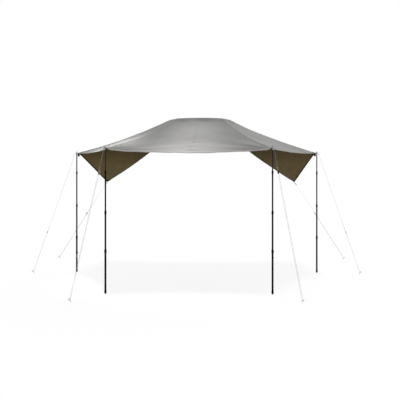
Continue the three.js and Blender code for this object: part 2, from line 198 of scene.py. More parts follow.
def turned(profile, centre, sides=32, shape=None):
    """Points and faces of a closed profile of (radius, height) pairs spun about centre. shape
    may change a radius by its height and angle."""
    points = []
    for radius, height in profile:
        for j in range(sides):
            angle = 2 * math.pi * j / sides
            r = shape(radius, height, angle) if shape else radius
            x, y = r * math.cos(angle), r * math.sin(angle)
            points.append((centre[0] + x, centre[1] + y, centre[2] + height))
    return points, ring_faces(len(profile), sides, closed=True)


def capped(profile, centre, sides=32):
    """As turned, for a solid profile that runs from the axis at its foot to the axis at its top."""
    points, _ = turned(profile, centre, sides)
    return points, capped_rings(len(profile), sides)


print("a turned ring has", len(turned([(1, 0), (2, 0), (2, 1)], (0, 0, 0))[1]), "faces")

# %% [markdown]
# ## Short calls for shader nodes
#
# A finish is one Principled surface with a few nodes in front of it. They could be placed by hand in
# the shader editor. `Shader` and `add_node` make them in one call each, and link a socket where one
# is given in place of a value.


# %% Shader calls
def add_node(tree, kind, inputs=None, **settings):
    node = tree.nodes.new(kind)
    for key, value in settings.items():
        setattr(node, key, value)
    for key, value in (inputs or {}).items():
        if isinstance(value, bpy.types.NodeSocket):
            tree.links.new(value, node.inputs[key])
        else:
            node.inputs[key].default_value = value
    return node


def math_node(tree, operation, a, b=0.0, c=0.0):
    return add_node(tree, "ShaderNodeMath", {0: a, 1: b, 2: c}, operation=operation).outputs[0]


class Shader:
    """A material with one Principled surface and short calls to add nodes."""

    def __init__(self, name, color, roughness, metallic=0.0, **inputs):
        self.material = bpy.data.materials.new(name)
        self.material.use_nodes = True
        self.tree = self.material.node_tree
        self.surface = self.tree.nodes["Principled BSDF"]
        self.surface.inputs["Base Color"].default_value = (*color, 1)
        self.surface.inputs["Roughness"].default_value = roughness
        self.surface.inputs["Metallic"].default_value = metallic
        for key, value in inputs.items():
            self.surface.inputs[key.replace("_", " ")].default_value = value

    def node(self, kind, inputs=None, **settings):
        return add_node(self.tree, kind, inputs, **settings)

    def drive(self, socket, source):
        self.tree.links.new(source, self.surface.inputs[socket])


def new_group(name, inputs, outputs):
    group = bpy.data.node_groups.new(name, "ShaderNodeTree")
    for label, kind, default in inputs:
        socket = group.interface.new_socket(name=label, in_out="INPUT", socket_type=kind)
        socket.default_value = default
    for label, kind in outputs:
        group.interface.new_socket(name=label, in_out="OUTPUT", socket_type=kind)
    return group, group.nodes.new("NodeGroupInput"), group.nodes.new("NodeGroupOutput")


print("shader calls ready")

# %% [markdown]
# ## Uneven tone
#
# Outdoor gear fades and takes dust in soft patches, and a flat colour looks like plastic sheet. An
# image could hold the patches, but a noise in the piece's own coordinates needs no unwrapping and
# stays put when the camera moves. Every finish shares this group with its own scale and amount.

# %% Uneven tone
FINER = 14.0      # the small mottle's scale, in the patches' scale
MOTTLE = 0.3      # its share beside the patches
MEAN_TONE = 0.65  # the mean of both noises together


def uneven_tone_group():
    """Tints a colour lighter and darker in soft patches, with a finer mottle on top."""
    group, given, result = new_group(
        "Uneven tone",
        [("Color", "NodeSocketColor", (0.5, 0.5, 0.5, 1)), ("Scale", "NodeSocketFloat", 2.0),
         ("Amount", "NodeSocketFloat", 0.1)],
        [("Color", "NodeSocketColor"), ("Mask", "NodeSocketFloat")],
    )
    coords = group.nodes.new("ShaderNodeTexCoord").outputs["Object"]
    broad = add_node(group, "ShaderNodeTexNoise", {
        "Vector": coords, "Scale": given.outputs["Scale"], "Detail": 5.0, "Roughness": 0.55})
    fine_scale = math_node(group, "MULTIPLY", given.outputs["Scale"], FINER)
    fine = add_node(group, "ShaderNodeTexNoise", {
        "Vector": coords, "Scale": fine_scale, "Detail": 3.0, "Roughness": 0.6})
    both = math_node(group, "MULTIPLY_ADD", fine.outputs["Fac"], MOTTLE, broad.outputs["Fac"])
    centred = math_node(group, "SUBTRACT", both, MEAN_TONE)
    scaled = math_node(group, "MULTIPLY", centred, given.outputs["Amount"])
    value = math_node(group, "ADD", scaled, 1.0)
    toned = add_node(group, "ShaderNodeVectorMath", {
        0: given.outputs["Color"], "Scale": value}, operation="SCALE")
    group.links.new(toned.outputs[0], result.inputs["Color"])
    group.links.new(both, result.inputs["Mask"])
    return group


UNEVEN = uneven_tone_group()
print("shader group:", UNEVEN.name)

# %% [markdown]
# ## Woven threads
#
# The cloth is a plain weave with a thicker ripstop thread every few millimetres. Real threads
# would take millions of faces, so two crossed sine waves make the weave and thin ridges the
# ripstop, as one height for a bump. It reads UVs in metres, so every panel has the same count.

# %% Woven threads
RIB_WIDTH = 0.07     # half of a ripstop thread's share of its square
WEAVE_HEIGHT = 0.35  # the plain weave's height beside a ripstop thread's


def threads_group():
    """The height of a plain weave with thicker ripstop threads, from metres of cloth in the UVs."""
    group, given, result = new_group(
        "Woven threads",
        [("Thread", "NodeSocketFloat", 0.0006), ("Ripstop", "NodeSocketFloat", 0.006)],
        [("Height", "NodeSocketFloat")],
    )
    uv = group.nodes.new("ShaderNodeTexCoord").outputs["UV"]
    split = add_node(group, "ShaderNodeSeparateXYZ", {0: uv})
    waves, ribs = [], []
    for axis in ("X", "Y"):
        metres = split.outputs[axis]
        turns = math_node(group, "DIVIDE", metres, given.outputs["Thread"])
        waves.append(math_node(group, "SINE", math_node(group, "MULTIPLY", turns, math.pi)))
        cells = math_node(group, "DIVIDE", metres, given.outputs["Ripstop"])
        place = math_node(group, "PINGPONG", cells, 0.5)
        ribs.append(math_node(group, "LESS_THAN", place, RIB_WIDTH))
    weave = math_node(group, "MULTIPLY", waves[0], waves[1])
    rib = math_node(group, "MAXIMUM", ribs[0], ribs[1])
    height = math_node(group, "MULTIPLY_ADD", weave, WEAVE_HEIGHT, rib)
    group.links.new(height, result.inputs["Height"])
    return group


THREADS = threads_group()
print("shader group:", THREADS.name)

# %% [markdown]
# ## Stitch rows
#
# Hems, seams and webbing are sewn with two rows of lockstitch. Each stitch could be a small mesh,
# but there are thousands. A mask from the strip's own UVs draws them all: it is on within a
# thread's width of either row, and off for the gap between two stitches.

# %% Stitch rows
THREAD_HALF = 0.00035
STITCH_STEP = 0.0042
STITCH_SHARE = 0.72  # how much of a step the thread lies on top for


def stitches_group():
    """Two rows of lockstitch along a strip, whose UVs are metres across and metres along it."""
    group, given, result = new_group(
        "Stitch rows",
        [("Centre", "NodeSocketFloat", 0.0), ("Spread", "NodeSocketFloat", 0.003)],
        [("Mask", "NodeSocketFloat")],
    )
    uv = group.nodes.new("ShaderNodeTexCoord").outputs["UV"]
    split = add_node(group, "ShaderNodeSeparateXYZ", {0: uv})
    across = math_node(group, "SUBTRACT", split.outputs["X"], given.outputs["Centre"])
    away = math_node(group, "SUBTRACT", math_node(group, "ABSOLUTE", across), given.outputs["Spread"])
    row = math_node(group, "LESS_THAN", math_node(group, "ABSOLUTE", away), THREAD_HALF)
    step = math_node(group, "FRACT", math_node(group, "DIVIDE", split.outputs["Y"], STITCH_STEP))
    dash = math_node(group, "LESS_THAN", step, STITCH_SHARE)
    group.links.new(math_node(group, "MULTIPLY", row, dash), result.inputs["Mask"])
    return group


STITCHES = stitches_group()
print("shader group:", STITCHES.name)

# %% [markdown]
# ## Grain
#
# Crumpled cloth, powder coat, moulded plastic and drawn metal each have a fine relief, which may run
# along one axis. It could be an image tiled over every piece, but then the tiles would repeat. One
# noise gives its height instead, and each finish sets how fine it is and how far it is drawn out.


# %% Grain
def grain_group():
    """The height of a fine relief, which may be drawn out along an axis."""
    group, given, result = new_group(
        "Grain",
        [("Scale", "NodeSocketFloat", 100.0), ("Detail", "NodeSocketFloat", 4.0),
         ("Stretch", "NodeSocketVector", (1, 1, 1))],
        [("Height", "NodeSocketFloat")],
    )
    coords = group.nodes.new("ShaderNodeTexCoord").outputs["Object"]
    mapped = add_node(group, "ShaderNodeMapping", {"Vector": coords, "Scale": given.outputs["Stretch"]})
    relief = add_node(group, "ShaderNodeTexNoise", {
        "Vector": mapped.outputs[0], "Scale": given.outputs["Scale"],
        "Detail": given.outputs["Detail"]})
    group.links.new(relief.outputs["Fac"], result.inputs["Height"])
    return group


GRAIN = grain_group()
print("shader group:", GRAIN.name)

# %% [markdown]
# ## Tones and bumps
#
# Each finish is a tone, a roughness that follows the same patches, and one or more bumps. The bumps
# could be mixed into one height, but then one distance has to serve crumples and threads alike.
# Chained bumps let each keep its own.


# %% Tones and bumps
def toned(shader, color, scale, amount):
    node = shader.node("ShaderNodeGroup", {"Color": (*color, 1), "Scale": scale, "Amount": amount},
                       node_tree=UNEVEN)
    return node.outputs["Color"], node.outputs["Mask"]


def spread(shader, mask, low, high):
    """Turns a tone's mask into a value between low and high."""
    node = shader.node("ShaderNodeMapRange", {"Value": mask, "From Min": 0.35, "From Max": 0.95,
                                              "To Min": low, "To Max": high})
    return node.outputs["Result"]


def grain(shader, scale, detail=4.0, stretch=(1, 1, 1)):
    node = shader.node("ShaderNodeGroup", {"Scale": scale, "Detail": detail, "Stretch": stretch},
                       node_tree=GRAIN)
    return node.outputs["Height"]


def bumped(shader, layers):
    """Chains bumps, each (height, strength, distance), into the surface's normal."""
    normal = None
    for height, strength, distance in layers:
        inputs = {"Height": height, "Strength": strength, "Distance": distance}
        if normal is not None:
            inputs["Normal"] = normal
        normal = shader.node("ShaderNodeBump", inputs).outputs["Normal"]
    shader.drive("Normal", normal)


print("tones and bumps ready")

# %% [markdown]
# ## Cloth materials
#
# The canopy's outside is a grey coated polyester, and its inside is olive brown. Both have ripstop
# threads, fine crumples and a slightly uneven tone. Light from the ground is painted into the olive:
# its tone is scaled lighter low on the wings and darker higher up. Hems, seams and webbing take the
# same threads and add their rows of stitches, so one function serves them all.


# %% Cloth materials
def painted_ground_light(shader, tone, low, high, bright, dim):
    """Paints light from the ground into a tone: scales it by bright up to the height low, and by dim
    from the height high.
    """
    coords = shader.node("ShaderNodeTexCoord").outputs["Object"]
    height = shader.node("ShaderNodeSeparateXYZ", {0: coords}).outputs["Z"]
    scale = shader.node("ShaderNodeMapRange", {"Value": height, "From Min": low, "From Max": high,
                                               "To Min": bright, "To Max": dim}).outputs["Result"]
    return shader.node("ShaderNodeVectorMath", {0: tone, "Scale": scale}, operation="SCALE").outputs[0]


def stitched(shader, tone, centre, apart, thread):
    """Lays the thread's colour over a tone in two rows, and returns it with the rows' mask."""
    rows = shader.node("ShaderNodeGroup", {"Centre": centre, "Spread": apart}, node_tree=STITCHES)
    mask = rows.outputs["Mask"]
    mix = shader.node("ShaderNodeMix", {"Factor": mask, 6: tone, 7: (*thread, 1)}, data_type="RGBA")
    return mix.outputs[2], mask


def cloth_material(name, color, roughness, sheen=0.0, crumple=0.05, rows=None, thread=None,
                   gloss=0.3, fall=None):
    """Cloth or webbing. rows is the middle of its two rows of stitches and how far each is from
    it, thread their colour, and fall the heights and scales of the light from the ground that is
    painted into the tone."""
    shader = Shader(name, color, roughness, Sheen_Weight=sheen, Sheen_Roughness=0.4,
                    Specular_IOR_Level=gloss)
    tone, mask = toned(shader, color, 1.3, 0.16)
    # Painted light from the ground: the tone is scaled by height.
    if fall:
        tone = painted_ground_light(shader, tone, *fall)
    threads = shader.node("ShaderNodeGroup", node_tree=THREADS).outputs["Height"]
    layers = [(grain(shader, 9.0, 5.0), crumple, 0.012), (grain(shader, 60.0, 4.0), 0.5, 0.0008),
              (threads, 0.5, 0.00012)]
    if rows:
        tone, stitches = stitched(shader, tone, *rows, thread)
        layers.append((stitches, 0.8, 0.0005))
    shader.drive("Base Color", tone)
    shader.drive("Roughness", spread(shader, mask, roughness - 0.06, roughness + 0.08))
    bumped(shader, layers)
    return shader.material


OUTER = (0.285, 0.28, 0.27)
INNER = (0.205, 0.151, 0.064)
# Painted ground light on the olive: its tone is scaled by 1.17 below 1.95 m and by 0.75 above 2.20 m.
INNER_PAINTED_LIGHT = (1.95, 2.20, 1.17, 0.75)
cloth_outer = cloth_material("cloth_outer", OUTER, 0.42, crumple=0.10, gloss=0.4)
cloth_inner = cloth_material("cloth_inner", INNER, 0.7, crumple=0.10, gloss=0.12, fall=INNER_PAINTED_LIGHT)
print("cloth materials:", cloth_outer.name, "and", cloth_inner.name)

# %% [markdown]
# ## Hem, seam and webbing materials
#
# The hems are the panels' own cloth folded over, the front and side edges are bound in pale tape,
# and the tabs and loops are woven webbing. Each could borrow the canopy's material, but folded
# cloth and webbing catch light in their own way, so each has its own tone, gloss and thread.

# %% Hem, seam and webbing materials
HEM_ROWS = (0.011, 0.008)
TAPE_ROWS = (0.0, 0.004)
SEAM_ROWS = (0.0, 0.0045)
WEBBING_ROWS = (0.0, 0.0085)
hem_grey = cloth_material("hem_grey", (0.30, 0.295, 0.28), 0.5, 0.05, 0.05, HEM_ROWS,
                          (0.42, 0.41, 0.39))
hem_olive = cloth_material("hem_olive", (0.34, 0.32, 0.26), 0.6, 0.1, 0.05, HEM_ROWS,
                           (0.42, 0.4, 0.33))
hem_dark = cloth_material("hem_dark", (0.022, 0.019, 0.013), 0.8, 0.0, 0.05, HEM_ROWS,
                          (0.07, 0.06, 0.045), gloss=0.1)
binding_rose = cloth_material("binding_rose", (0.74, 0.70, 0.67), 0.7, 0.1, 0.03, TAPE_ROWS,
                              (0.6, 0.57, 0.54))
binding_sand = cloth_material("binding_sand", (0.72, 0.71, 0.61), 0.7, 0.1, 0.03, TAPE_ROWS,
                              (0.58, 0.57, 0.5))
seam_outer = cloth_material("seam_outer", (0.27, 0.265, 0.255), 0.45, 0.0, 0.05, SEAM_ROWS,
                            (0.36, 0.36, 0.34), gloss=0.35)
seam_inner = cloth_material("seam_inner", (0.165, 0.13, 0.068), 0.4)
webbing_black = cloth_material("webbing_black", (0.010, 0.010, 0.010), 0.85, 0.0, 0.03,
                               WEBBING_ROWS, (0.05, 0.05, 0.05), gloss=0.1)
webbing_pale = cloth_material("webbing_pale", (0.55, 0.54, 0.51), 0.8, 0.0, 0.03, WEBBING_ROWS,
                              (0.65, 0.64, 0.6), gloss=0.2)
patch_grey = cloth_material("patch_grey", (0.30, 0.295, 0.28), 0.6, 0.1, 0.04)
print("sewn materials:", [m.name for m in (hem_grey, hem_olive, hem_dark, binding_rose,
                                           binding_sand, seam_outer, seam_inner, webbing_black,
                                           webbing_pale, patch_grey)])

# %% [markdown]
# ## Hard materials
#
# The lower sections are powder coated black, and the top ones a dark bronze grey. The collars, the
# line hook and the tensioners are moulded in black plastic, and the pegs and the spikes are bright
# zinc. They could all share one black, but each surface has its own grain: a fine orange peel, a
# brushed one that is stretched along the tube, or a moulded one.


# %% Hard materials
def hard_material(name, color, roughness, metallic, texture, stretch=(1, 1, 1), **inputs):
    """A hard finish. texture is its grain's scale, and its bump's strength and distance."""
    shader = Shader(name, color, roughness, metallic, **inputs)
    tone, mask = toned(shader, color, 7.0, 0.22)
    shader.drive("Base Color", tone)
    shader.drive("Roughness", spread(shader, mask, roughness - 0.08, roughness + 0.1))
    scale, strength, distance = texture
    bumped(shader, [(grain(shader, scale, 4.0, stretch), strength, distance)])
    return shader.material


BRUSHED = (1, 1, 0.02)
DRAWN = (1, 1, 0.05)
tube_black = hard_material("tube_black", (0.004, 0.004, 0.004), 0.6, 0.0, (1400, 0.35, 0.0001),
                           Specular_IOR_Level=0.06)
tube_grey = hard_material("tube_grey", (0.030, 0.024, 0.018), 0.40, 0.5, (700, 0.3, 0.0001), BRUSHED)
plastic_black = hard_material("plastic_black", (0.006, 0.006, 0.006), 0.55, 0.0,
                              (900, 0.4, 0.00015), Specular_IOR_Level=0.12)
rubber_black = hard_material("rubber_black", (0.012, 0.012, 0.012), 0.85, 0.0, (500, 0.5, 0.0003),
                             Specular_IOR_Level=0.15)
zinc = hard_material("zinc", (0.55, 0.55, 0.56), 0.28, 1.0, (600, 0.3, 0.0001), DRAWN)
zinc_bright = hard_material("zinc_bright", (0.82, 0.82, 0.82), 0.3, 0.6, (600, 0.2, 0.0001))
band_grey = hard_material("band_grey", (0.32, 0.32, 0.31), 0.5, 0.0, (300, 0.2, 0.0001))
print("hard materials:", [m.name for m in (tube_black, tube_grey, plastic_black, rubber_black,
                                           zinc, zinc_bright, band_grey)])

# %% [markdown]
# ## Rope
#
# Guy line is a round braid 3 mm across. Strands could be modelled one by one, but from a few metres
# off they only break up the highlight. So the tube's UVs carry two crossing spirals: where both are
# high, a strand shows in the tracer's darker colour, and their height makes the braid's bump.

# %% Rope
BRAID_STEP = 0.0045
TRACER_SHARE = 0.6


def braid_group():
    """The strands of a round braid, from UVs that go once round a cord and are metres along it."""
    group, given, result = new_group(
        "Braid",
        [("Step", "NodeSocketFloat", BRAID_STEP)],
        [("Height", "NodeSocketFloat"), ("Tracer", "NodeSocketFloat")],
    )
    uv = group.nodes.new("ShaderNodeTexCoord").outputs["UV"]
    split = add_node(group, "ShaderNodeSeparateXYZ", {0: uv})
    along = math_node(group, "DIVIDE", split.outputs["Y"], given.outputs["Step"])
    strands = []
    for turn in (2.0, -2.0):
        phase = math_node(group, "MULTIPLY_ADD", split.outputs["X"], turn, along)
        strands.append(math_node(group, "PINGPONG", phase, 0.5))
    height = math_node(group, "MAXIMUM", strands[0], strands[1])
    both = math_node(group, "MULTIPLY", strands[0], strands[1])
    group.links.new(height, result.inputs["Height"])
    group.links.new(math_node(group, "GREATER_THAN", both, 0.2), result.inputs["Tracer"])
    return group


BRAID = braid_group()


def rope_material(name, color, fleck):
    shader = Shader(name, color, 0.7, Sheen_Weight=0.2, Specular_IOR_Level=0.3)
    braid = shader.node("ShaderNodeGroup", node_tree=BRAID)
    tracer = math_node(shader.tree, "MULTIPLY", braid.outputs["Tracer"], TRACER_SHARE)
    tone, _ = toned(shader, color, 25.0, 0.2)
    mix = shader.node("ShaderNodeMix", {"Factor": tracer, 6: tone, 7: (*fleck, 1)}, data_type="RGBA")
    shader.drive("Base Color", mix.outputs[2])
    bumped(shader, [(braid.outputs["Height"], 0.6, 0.0006), (grain(shader, 2500, 3.0), 0.4, 0.0001)])
    return shader.material


rope_white = rope_material("rope_white", (0.80, 0.80, 0.77), (0.42, 0.42, 0.40))
rope_tan = rope_material("rope_tan", (0.62, 0.5, 0.3), (0.4, 0.3, 0.16))
print("ropes:", rope_white.name, "and", rope_tan.name)

# %% [markdown]
# ## The corners of the awning
#
# The guy lines and the canopy hang between the same few points: two near poles, two far poles,
# two wing tips and the arched rear edge. They could be read from the frame's boxes, but a box
# doesn't say where a tab is sewn, so these repeat the CAD model's own dimensions. A guy line is
# drawn in its own group, whose x axis points to its peg.

# %% Sizes shared by the corners
POLE_TOP = 2.150
TAB_THICK = 0.003
TAB_OUT = 0.016
TAB_IN = 0.026
LINE_R = 0.0015
GAP = 0.0003
PITCH = 2 * LINE_R + 0.0001  # from one turn of cord to the next beside it
CORNERS = {  # its place, its peg on the ground, and its tensioner's share of the run
    "near_left": ((-1.230, 0.0, POLE_TOP), (-1.591, -0.530), 0.83),
    "far_left": ((-2.162, 1.807, POLE_TOP), (-2.876, 1.645), 0.33),
    "left_wing": ((-1.925, 3.198, 1.605), (-2.945, 3.359), 0.60),
    "near_right": ((1.230, 0.0, POLE_TOP), (1.591, -0.530), 0.83),
    "far_right": ((2.162, 1.807, POLE_TOP), (2.876, 1.645), 0.33),
    "right_wing": ((1.925, 3.198, 1.605), (2.945, 3.359), 0.60),
}
print("corners:", list(CORNERS))


# %% Corners
class Corner:
    """A corner's place, the unit vector to its peg, the distance to it, and how far up the line
    its tensioner sits, as a share of the run."""

    def __init__(self, name):
        place, peg, self.share = CORNERS[name]
        self.name = name
        self.side = -1.0 if "left" in name else 1.0
        self.place = Vector((place[0], place[1] + NEAR_Y, place[2]))
        flat = Vector((peg[0] - place[0], peg[1] - place[1], 0))
        self.reach = flat.length
        self.outward = flat.normalized()
        self.across = Vector((-self.outward.y, self.outward.x, 0))

    def world(self, x, y, z):
        """A point of the line's group, where z is the height above the ground."""
        foot = Vector((self.place.x, self.place.y, 0))
        return foot + self.outward * x + self.across * y + Vector((0, 0, z))


corners = {name: Corner(name) for name in CORNERS}
for corner in corners.values():
    print(corner.name, "peg at", round(corner.reach, 3), "m")

# %% [markdown]
# ## Where a guy line starts
#
# A pole's line has an eye that drops over the spike and rests on the corner tab, so it bends down
# over the tab's end. A wing's line goes through the loop of webbing at the wing's tip. Both could be
# closed rings, but a real eye is a bight whose short end comes back into a knot, so each start is
# that short end, the bight and the way to the long run.

# %% Starts of the lines
EYE_R = 0.0064         # the bight round a spike, to the middle of the cord
BEND_R = 0.008         # the bend over a tab's end, through a wing's loop and round a peg
WING_EYE = 0.0468      # from a wing's tip to the middle of the bend in its loop
KNOT_FROM = 0.024      # where a bight's short end is buried in its knot, from the bight
WING_KNOT_FROM = 0.034


def slope_off(centre, radius, target):
    """The slope of a straight run that leaves a round bend and ends at the target."""
    across, down = target[0] - centre[0], centre[1] - target[1]
    return math.atan2(down, across) + math.asin(radius / math.hypot(across, down))


def arc(steps, make):
    return [make(i / steps) for i in range(steps + 1)]


def spike_start(corner, catch):
    """The knot, the bight round the spike and both bends over the end of the corner tab."""
    height = corner.place.z + GAP + LINE_R
    centre = (TAB_OUT, height - BEND_R)
    slope = slope_off(centre, BEND_R, catch)
    side = corner.side

    def over_edge(y):
        return arc(6, lambda s: (centre[0] + BEND_R * math.sin(slope * s), y,
                                 centre[1] + BEND_R * math.cos(slope * s)))

    away = over_edge(side * EYE_R)
    back = over_edge(-side * EYE_R)[::-1]
    end = away[-1]
    knot = [(end[0] + math.cos(slope) * d, side * (EYE_R - PITCH), end[2] - math.sin(slope) * d)
            for d in (KNOT_FROM, KNOT_FROM - 0.005)]
    bight = arc(14, lambda s: (-EYE_R * math.sin(math.pi * (1 - s)),
                               side * EYE_R * math.cos(math.pi * (1 - s)), height))
    return slope, side * EYE_R, knot + back + bight + away


def wing_start(corner, catch):
    """The knot and the bight through the loop of a wing."""
    tip = corner.place.z
    tilt = math.atan2(tip - catch[1], catch[0])
    centre = (WING_EYE * math.cos(tilt), tip - WING_EYE * math.sin(tilt))
    slope = slope_off(centre, BEND_R, catch)

    def on_eye(angle):
        return (centre[0] + BEND_R * math.sin(angle), 0.0, centre[1] + BEND_R * math.cos(angle))

    bight = arc(16, lambda s: on_eye(slope - math.pi * (1 - s)))
    end = bight[-1]
    knot = [(end[0] + math.cos(slope) * d - math.sin(slope) * PITCH, 0.0,
             end[2] - math.sin(slope) * d - math.cos(slope) * PITCH)
            for d in (WING_KNOT_FROM, WING_KNOT_FROM - 0.006)]
    return slope, 0.0, knot + bight


print("a pole's bight is", round(2000 * EYE_R, 1), "mm across")

# %% [markdown]
# ## The run of a guy line
#
# From its eye a line runs straight down to its peg, turns round it and comes back up through its
# tensioner to a short tail. It could be drawn with the sag of a loose cord, but an awning's lines
# are drawn tight, so the runs are straight and only the tail droops.

# %% The run of a line
PEG_LEAN = math.radians(30)
PEG_R = 0.0035
PEG_STUB = 0.005
PEG_CATCH = 0.030
RUNNER = 0.044
TAIL = 0.061
TAIL_STRAIGHT = 0.86  # the share of the tail that keeps straight, from the tensioner up
TAIL_DROOP = (0.001, 0.003, -0.004)
EYE_KNOT_BELOW = 0.0215
DOWN_POINTS, BACK_POINTS, TAIL_POINTS = 34, 24, 9


def line_path(corner):
    """Every point of a line in its group, and the places on it that its pieces need."""
    peg_x = corner.reach + PEG_CATCH * math.sin(PEG_LEAN)
    peg_z = PEG_STUB + PEG_CATCH * math.cos(PEG_LEAN)
    start = wing_start if corner.name.endswith("wing") else spike_start
    slope, lateral, points = start(corner, (peg_x, peg_z))
    up = np.array([-math.cos(slope), 0.0, math.sin(slope)])
    seat = (LINE_R + PEG_R + GAP) / math.cos(slope - PEG_LEAN)
    turn_centre = np.array([peg_x, 0, peg_z]) + up * (BEND_R - seat)
    turn_centre[1] = lateral - corner.side * BEND_R
    sideways = np.array([0, corner.side * BEND_R, 0])
    turn = arc(12, lambda s: turn_centre - up * BEND_R * math.sin(math.pi * s)
               + sideways * math.cos(math.pi * s))
    top = np.array(points[-1])
    run = np.linalg.norm(top - turn[0])
    down = [top + (turn[0] - top) * s for s in np.linspace(0, 1, DOWN_POINTS)[1:-1]]
    back_length = run * corner.share + RUNNER / 2
    back = [turn[-1] + up * back_length * s for s in np.linspace(0, 1, BACK_POINTS)[1:]]
    tail = []
    for s in np.linspace(0, 1, TAIL_POINTS)[1:]:
        droop = np.array([1, corner.side, 1]) * TAIL_DROOP
        droop = droop * max(0.0, s - TAIL_STRAIGHT) / (1 - TAIL_STRAIGHT)
        tail.append(back[-1] + up * TAIL * s + droop)
    path = [np.array(p, float) for p in points] + down + turn + back + tail
    eye_knot = top - up * EYE_KNOT_BELOW
    eye_knot[1] -= corner.side * LINE_R if lateral else 0
    return {"path": path, "up": up, "eye_knot": eye_knot, "tail_end": tail[-1],
            "runner": turn_centre + up * run * corner.share}


print("a near line has", len(line_path(corners["near_left"])["path"]), "points")

# %% [markdown]
# ## Knots and turns of cord
#
# The eye closes in a barrel knot and the tail ends in a small stopper knot. A knot could be routed
# strand by strand, but what shows is cord wound tightly round cord, so each is a coil that tapers at
# both ends. The near lines have eight more turns wound round their spikes.

# %% Knots and turns
KNOT_HALF = 0.0048  # half of a knot's length along the line
KNOT_STEPS = 14     # points in a turn of a knot
KNOT_END = 0.55     # a knot's radius at both ends, as a share of the middle's
SPIKE_TURNS = 8
TURNS_BASE = POLE_TOP + 0.0054


def barrel_knot(corner, start, end, radius, turns):
    """A coil of cord wound tightly round the line between two points of its group."""
    start, end = np.asarray(start, float), np.asarray(end, float)
    axis = (end - start) / np.linalg.norm(end - start)
    side = np.cross(axis, (0, 1, 0))
    side /= np.linalg.norm(side)
    other = np.cross(axis, side)
    steps = int(turns * KNOT_STEPS)
    points = []
    for i in range(steps + 1):
        angle = 2 * math.pi * turns * i / steps
        ease = min(i, steps - i) / 5
        r = radius * (KNOT_END + (1 - KNOT_END) * min(ease, 1))
        centre = start + (end - start) * i / steps
        points.append(centre + r * (math.cos(angle) * side + math.sin(angle) * other))
    return [corner.world(*p) for p in points]


def spike_turns(corner):
    """Turns of cord wound upwards round a spike."""
    turns = [i / 18 for i in range(SPIKE_TURNS * 18 + 1)]
    return [corner.world(EYE_R * math.cos(2 * math.pi * t), EYE_R * math.sin(2 * math.pi * t),
                         TURNS_BASE + PITCH * t) for t in turns]


def cord_piece(name, path, radius=LINE_R, sides=8, body="root", material=rope_white):
    points, faces, uvs = tube(path, radius, sides)
    return make_piece(name, points, faces, body, [material], uvs)


print("a spike's turns are", round(1000 * PITCH * SPIKE_TURNS, 1), "mm high")

# %% [markdown]
# ## The six guy lines
#
# Each line is one braided cord along its path, with a knot at its eye and one at its tail, and it
# takes the place of the frame's own line. The near lines also get their turns round the spikes.

# %% The six guy lines
for name, corner in corners.items():
    route = line_path(corner)
    path = [corner.world(*p) for p in route["path"]]
    line = cord_piece(f"{name}_rope", path, sides=10)
    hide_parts(f"{name}_guy_line")
    along = route["up"] * KNOT_HALF
    knots = [  # name, start, end, radius and turns
        (f"{name}_eye_knot", route["eye_knot"] + along, route["eye_knot"] - along, 0.0042, 3.5),
        (f"{name}_stopper_knot", route["tail_end"] - along * 1.1, route["tail_end"], 0.0027, 2.5),
    ]
    extras = [cord_piece(knot_name, barrel_knot(corner, start, end, radius, turns), LINE_R * 0.95)
              for knot_name, start, end, radius, turns in knots]
    if name.startswith("near"):
        extras.append(cord_piece(f"{name}_wraps", spike_turns(corner)))

# %% [markdown]
# ## The shape of the cloth
#
# The canopy is one sheet. Six ribs run from the corners up to the arch, and the five bays between
# them hang a little. It could be pinned at its corners and draped by a cloth simulation, but the
# pitched shape has to be the CAD model's, so `base` repeats that surface as a formula.

# %% Ribs and bays
ARCH_DEPTH = 2.965


def corner_tip(name):
    corner = corners[name]
    if name.endswith("wing"):
        return np.array(corner.place)
    tip = corner.place - corner.outward * TAB_IN
    return np.array((tip.x, tip.y, tip.z - TAB_THICK / 2))


def arch_point(side, half_width, height):
    return np.array((side * half_width, ARCH_DEPTH + NEAR_Y, height))


FRONTS = np.array([corner_tip(n) for n in (
    "left_wing", "far_left", "near_left", "near_right", "far_right", "right_wing")])
ARCHES = np.array([
    arch_point(-1, 0.705, 2.450), arch_point(-1, 0.620, 2.850), arch_point(-1, 0.450, 2.885),
    arch_point(1, 0.450, 2.885), arch_point(1, 0.620, 2.850), arch_point(1, 0.705, 2.450)])
RIB_SAGS = np.array([0.035, 0.046, 0.062, 0.062, 0.046, 0.035])
BAY_SAGS = np.array([0.030, 0.032, 0.068, 0.032, 0.030])
BAY_BOWS = np.array([1, 1, 0.75, 1, 1])
BAY_CUTS = np.array([0.025, 0.060, 0.090, 0.060, 0.025])
BAY_CROWNS = np.array([0, 0, 0.012, 0, 0])
print("canopy tips:", FRONTS.round(3).tolist())


# %% The base surface
def bow(share):
    return 4 * share * (1 - share)


def unit(vectors):
    return vectors / np.maximum(np.linalg.norm(vectors, axis=-1, keepdims=True), 1e-12)


def rib(index, along):
    point = FRONTS[index] + (ARCHES[index] - FRONTS[index]) * along[..., None]
    point[..., 2] -= RIB_SAGS[index] * bow(along)
    return point


def base(bay, across, along):
    """The middle of the cloth, across a bay and along it from the hem (0) to the arch (1)."""
    length = np.linalg.norm(FRONTS[bay] - ARCHES[bay], axis=-1)
    cut = along + (1 - along) * bow(across) * BAY_CUTS[bay] / length
    start, end = rib(bay, cut), rib(bay + 1, cut)
    point = start + (end - start) * across[..., None]
    point[..., 2] -= BAY_SAGS[bay] * bow(across) ** BAY_BOWS[bay] * (1 - along) ** 2
    point[..., 2] += BAY_CROWNS[bay] * bow(across) * along ** 2
    return point


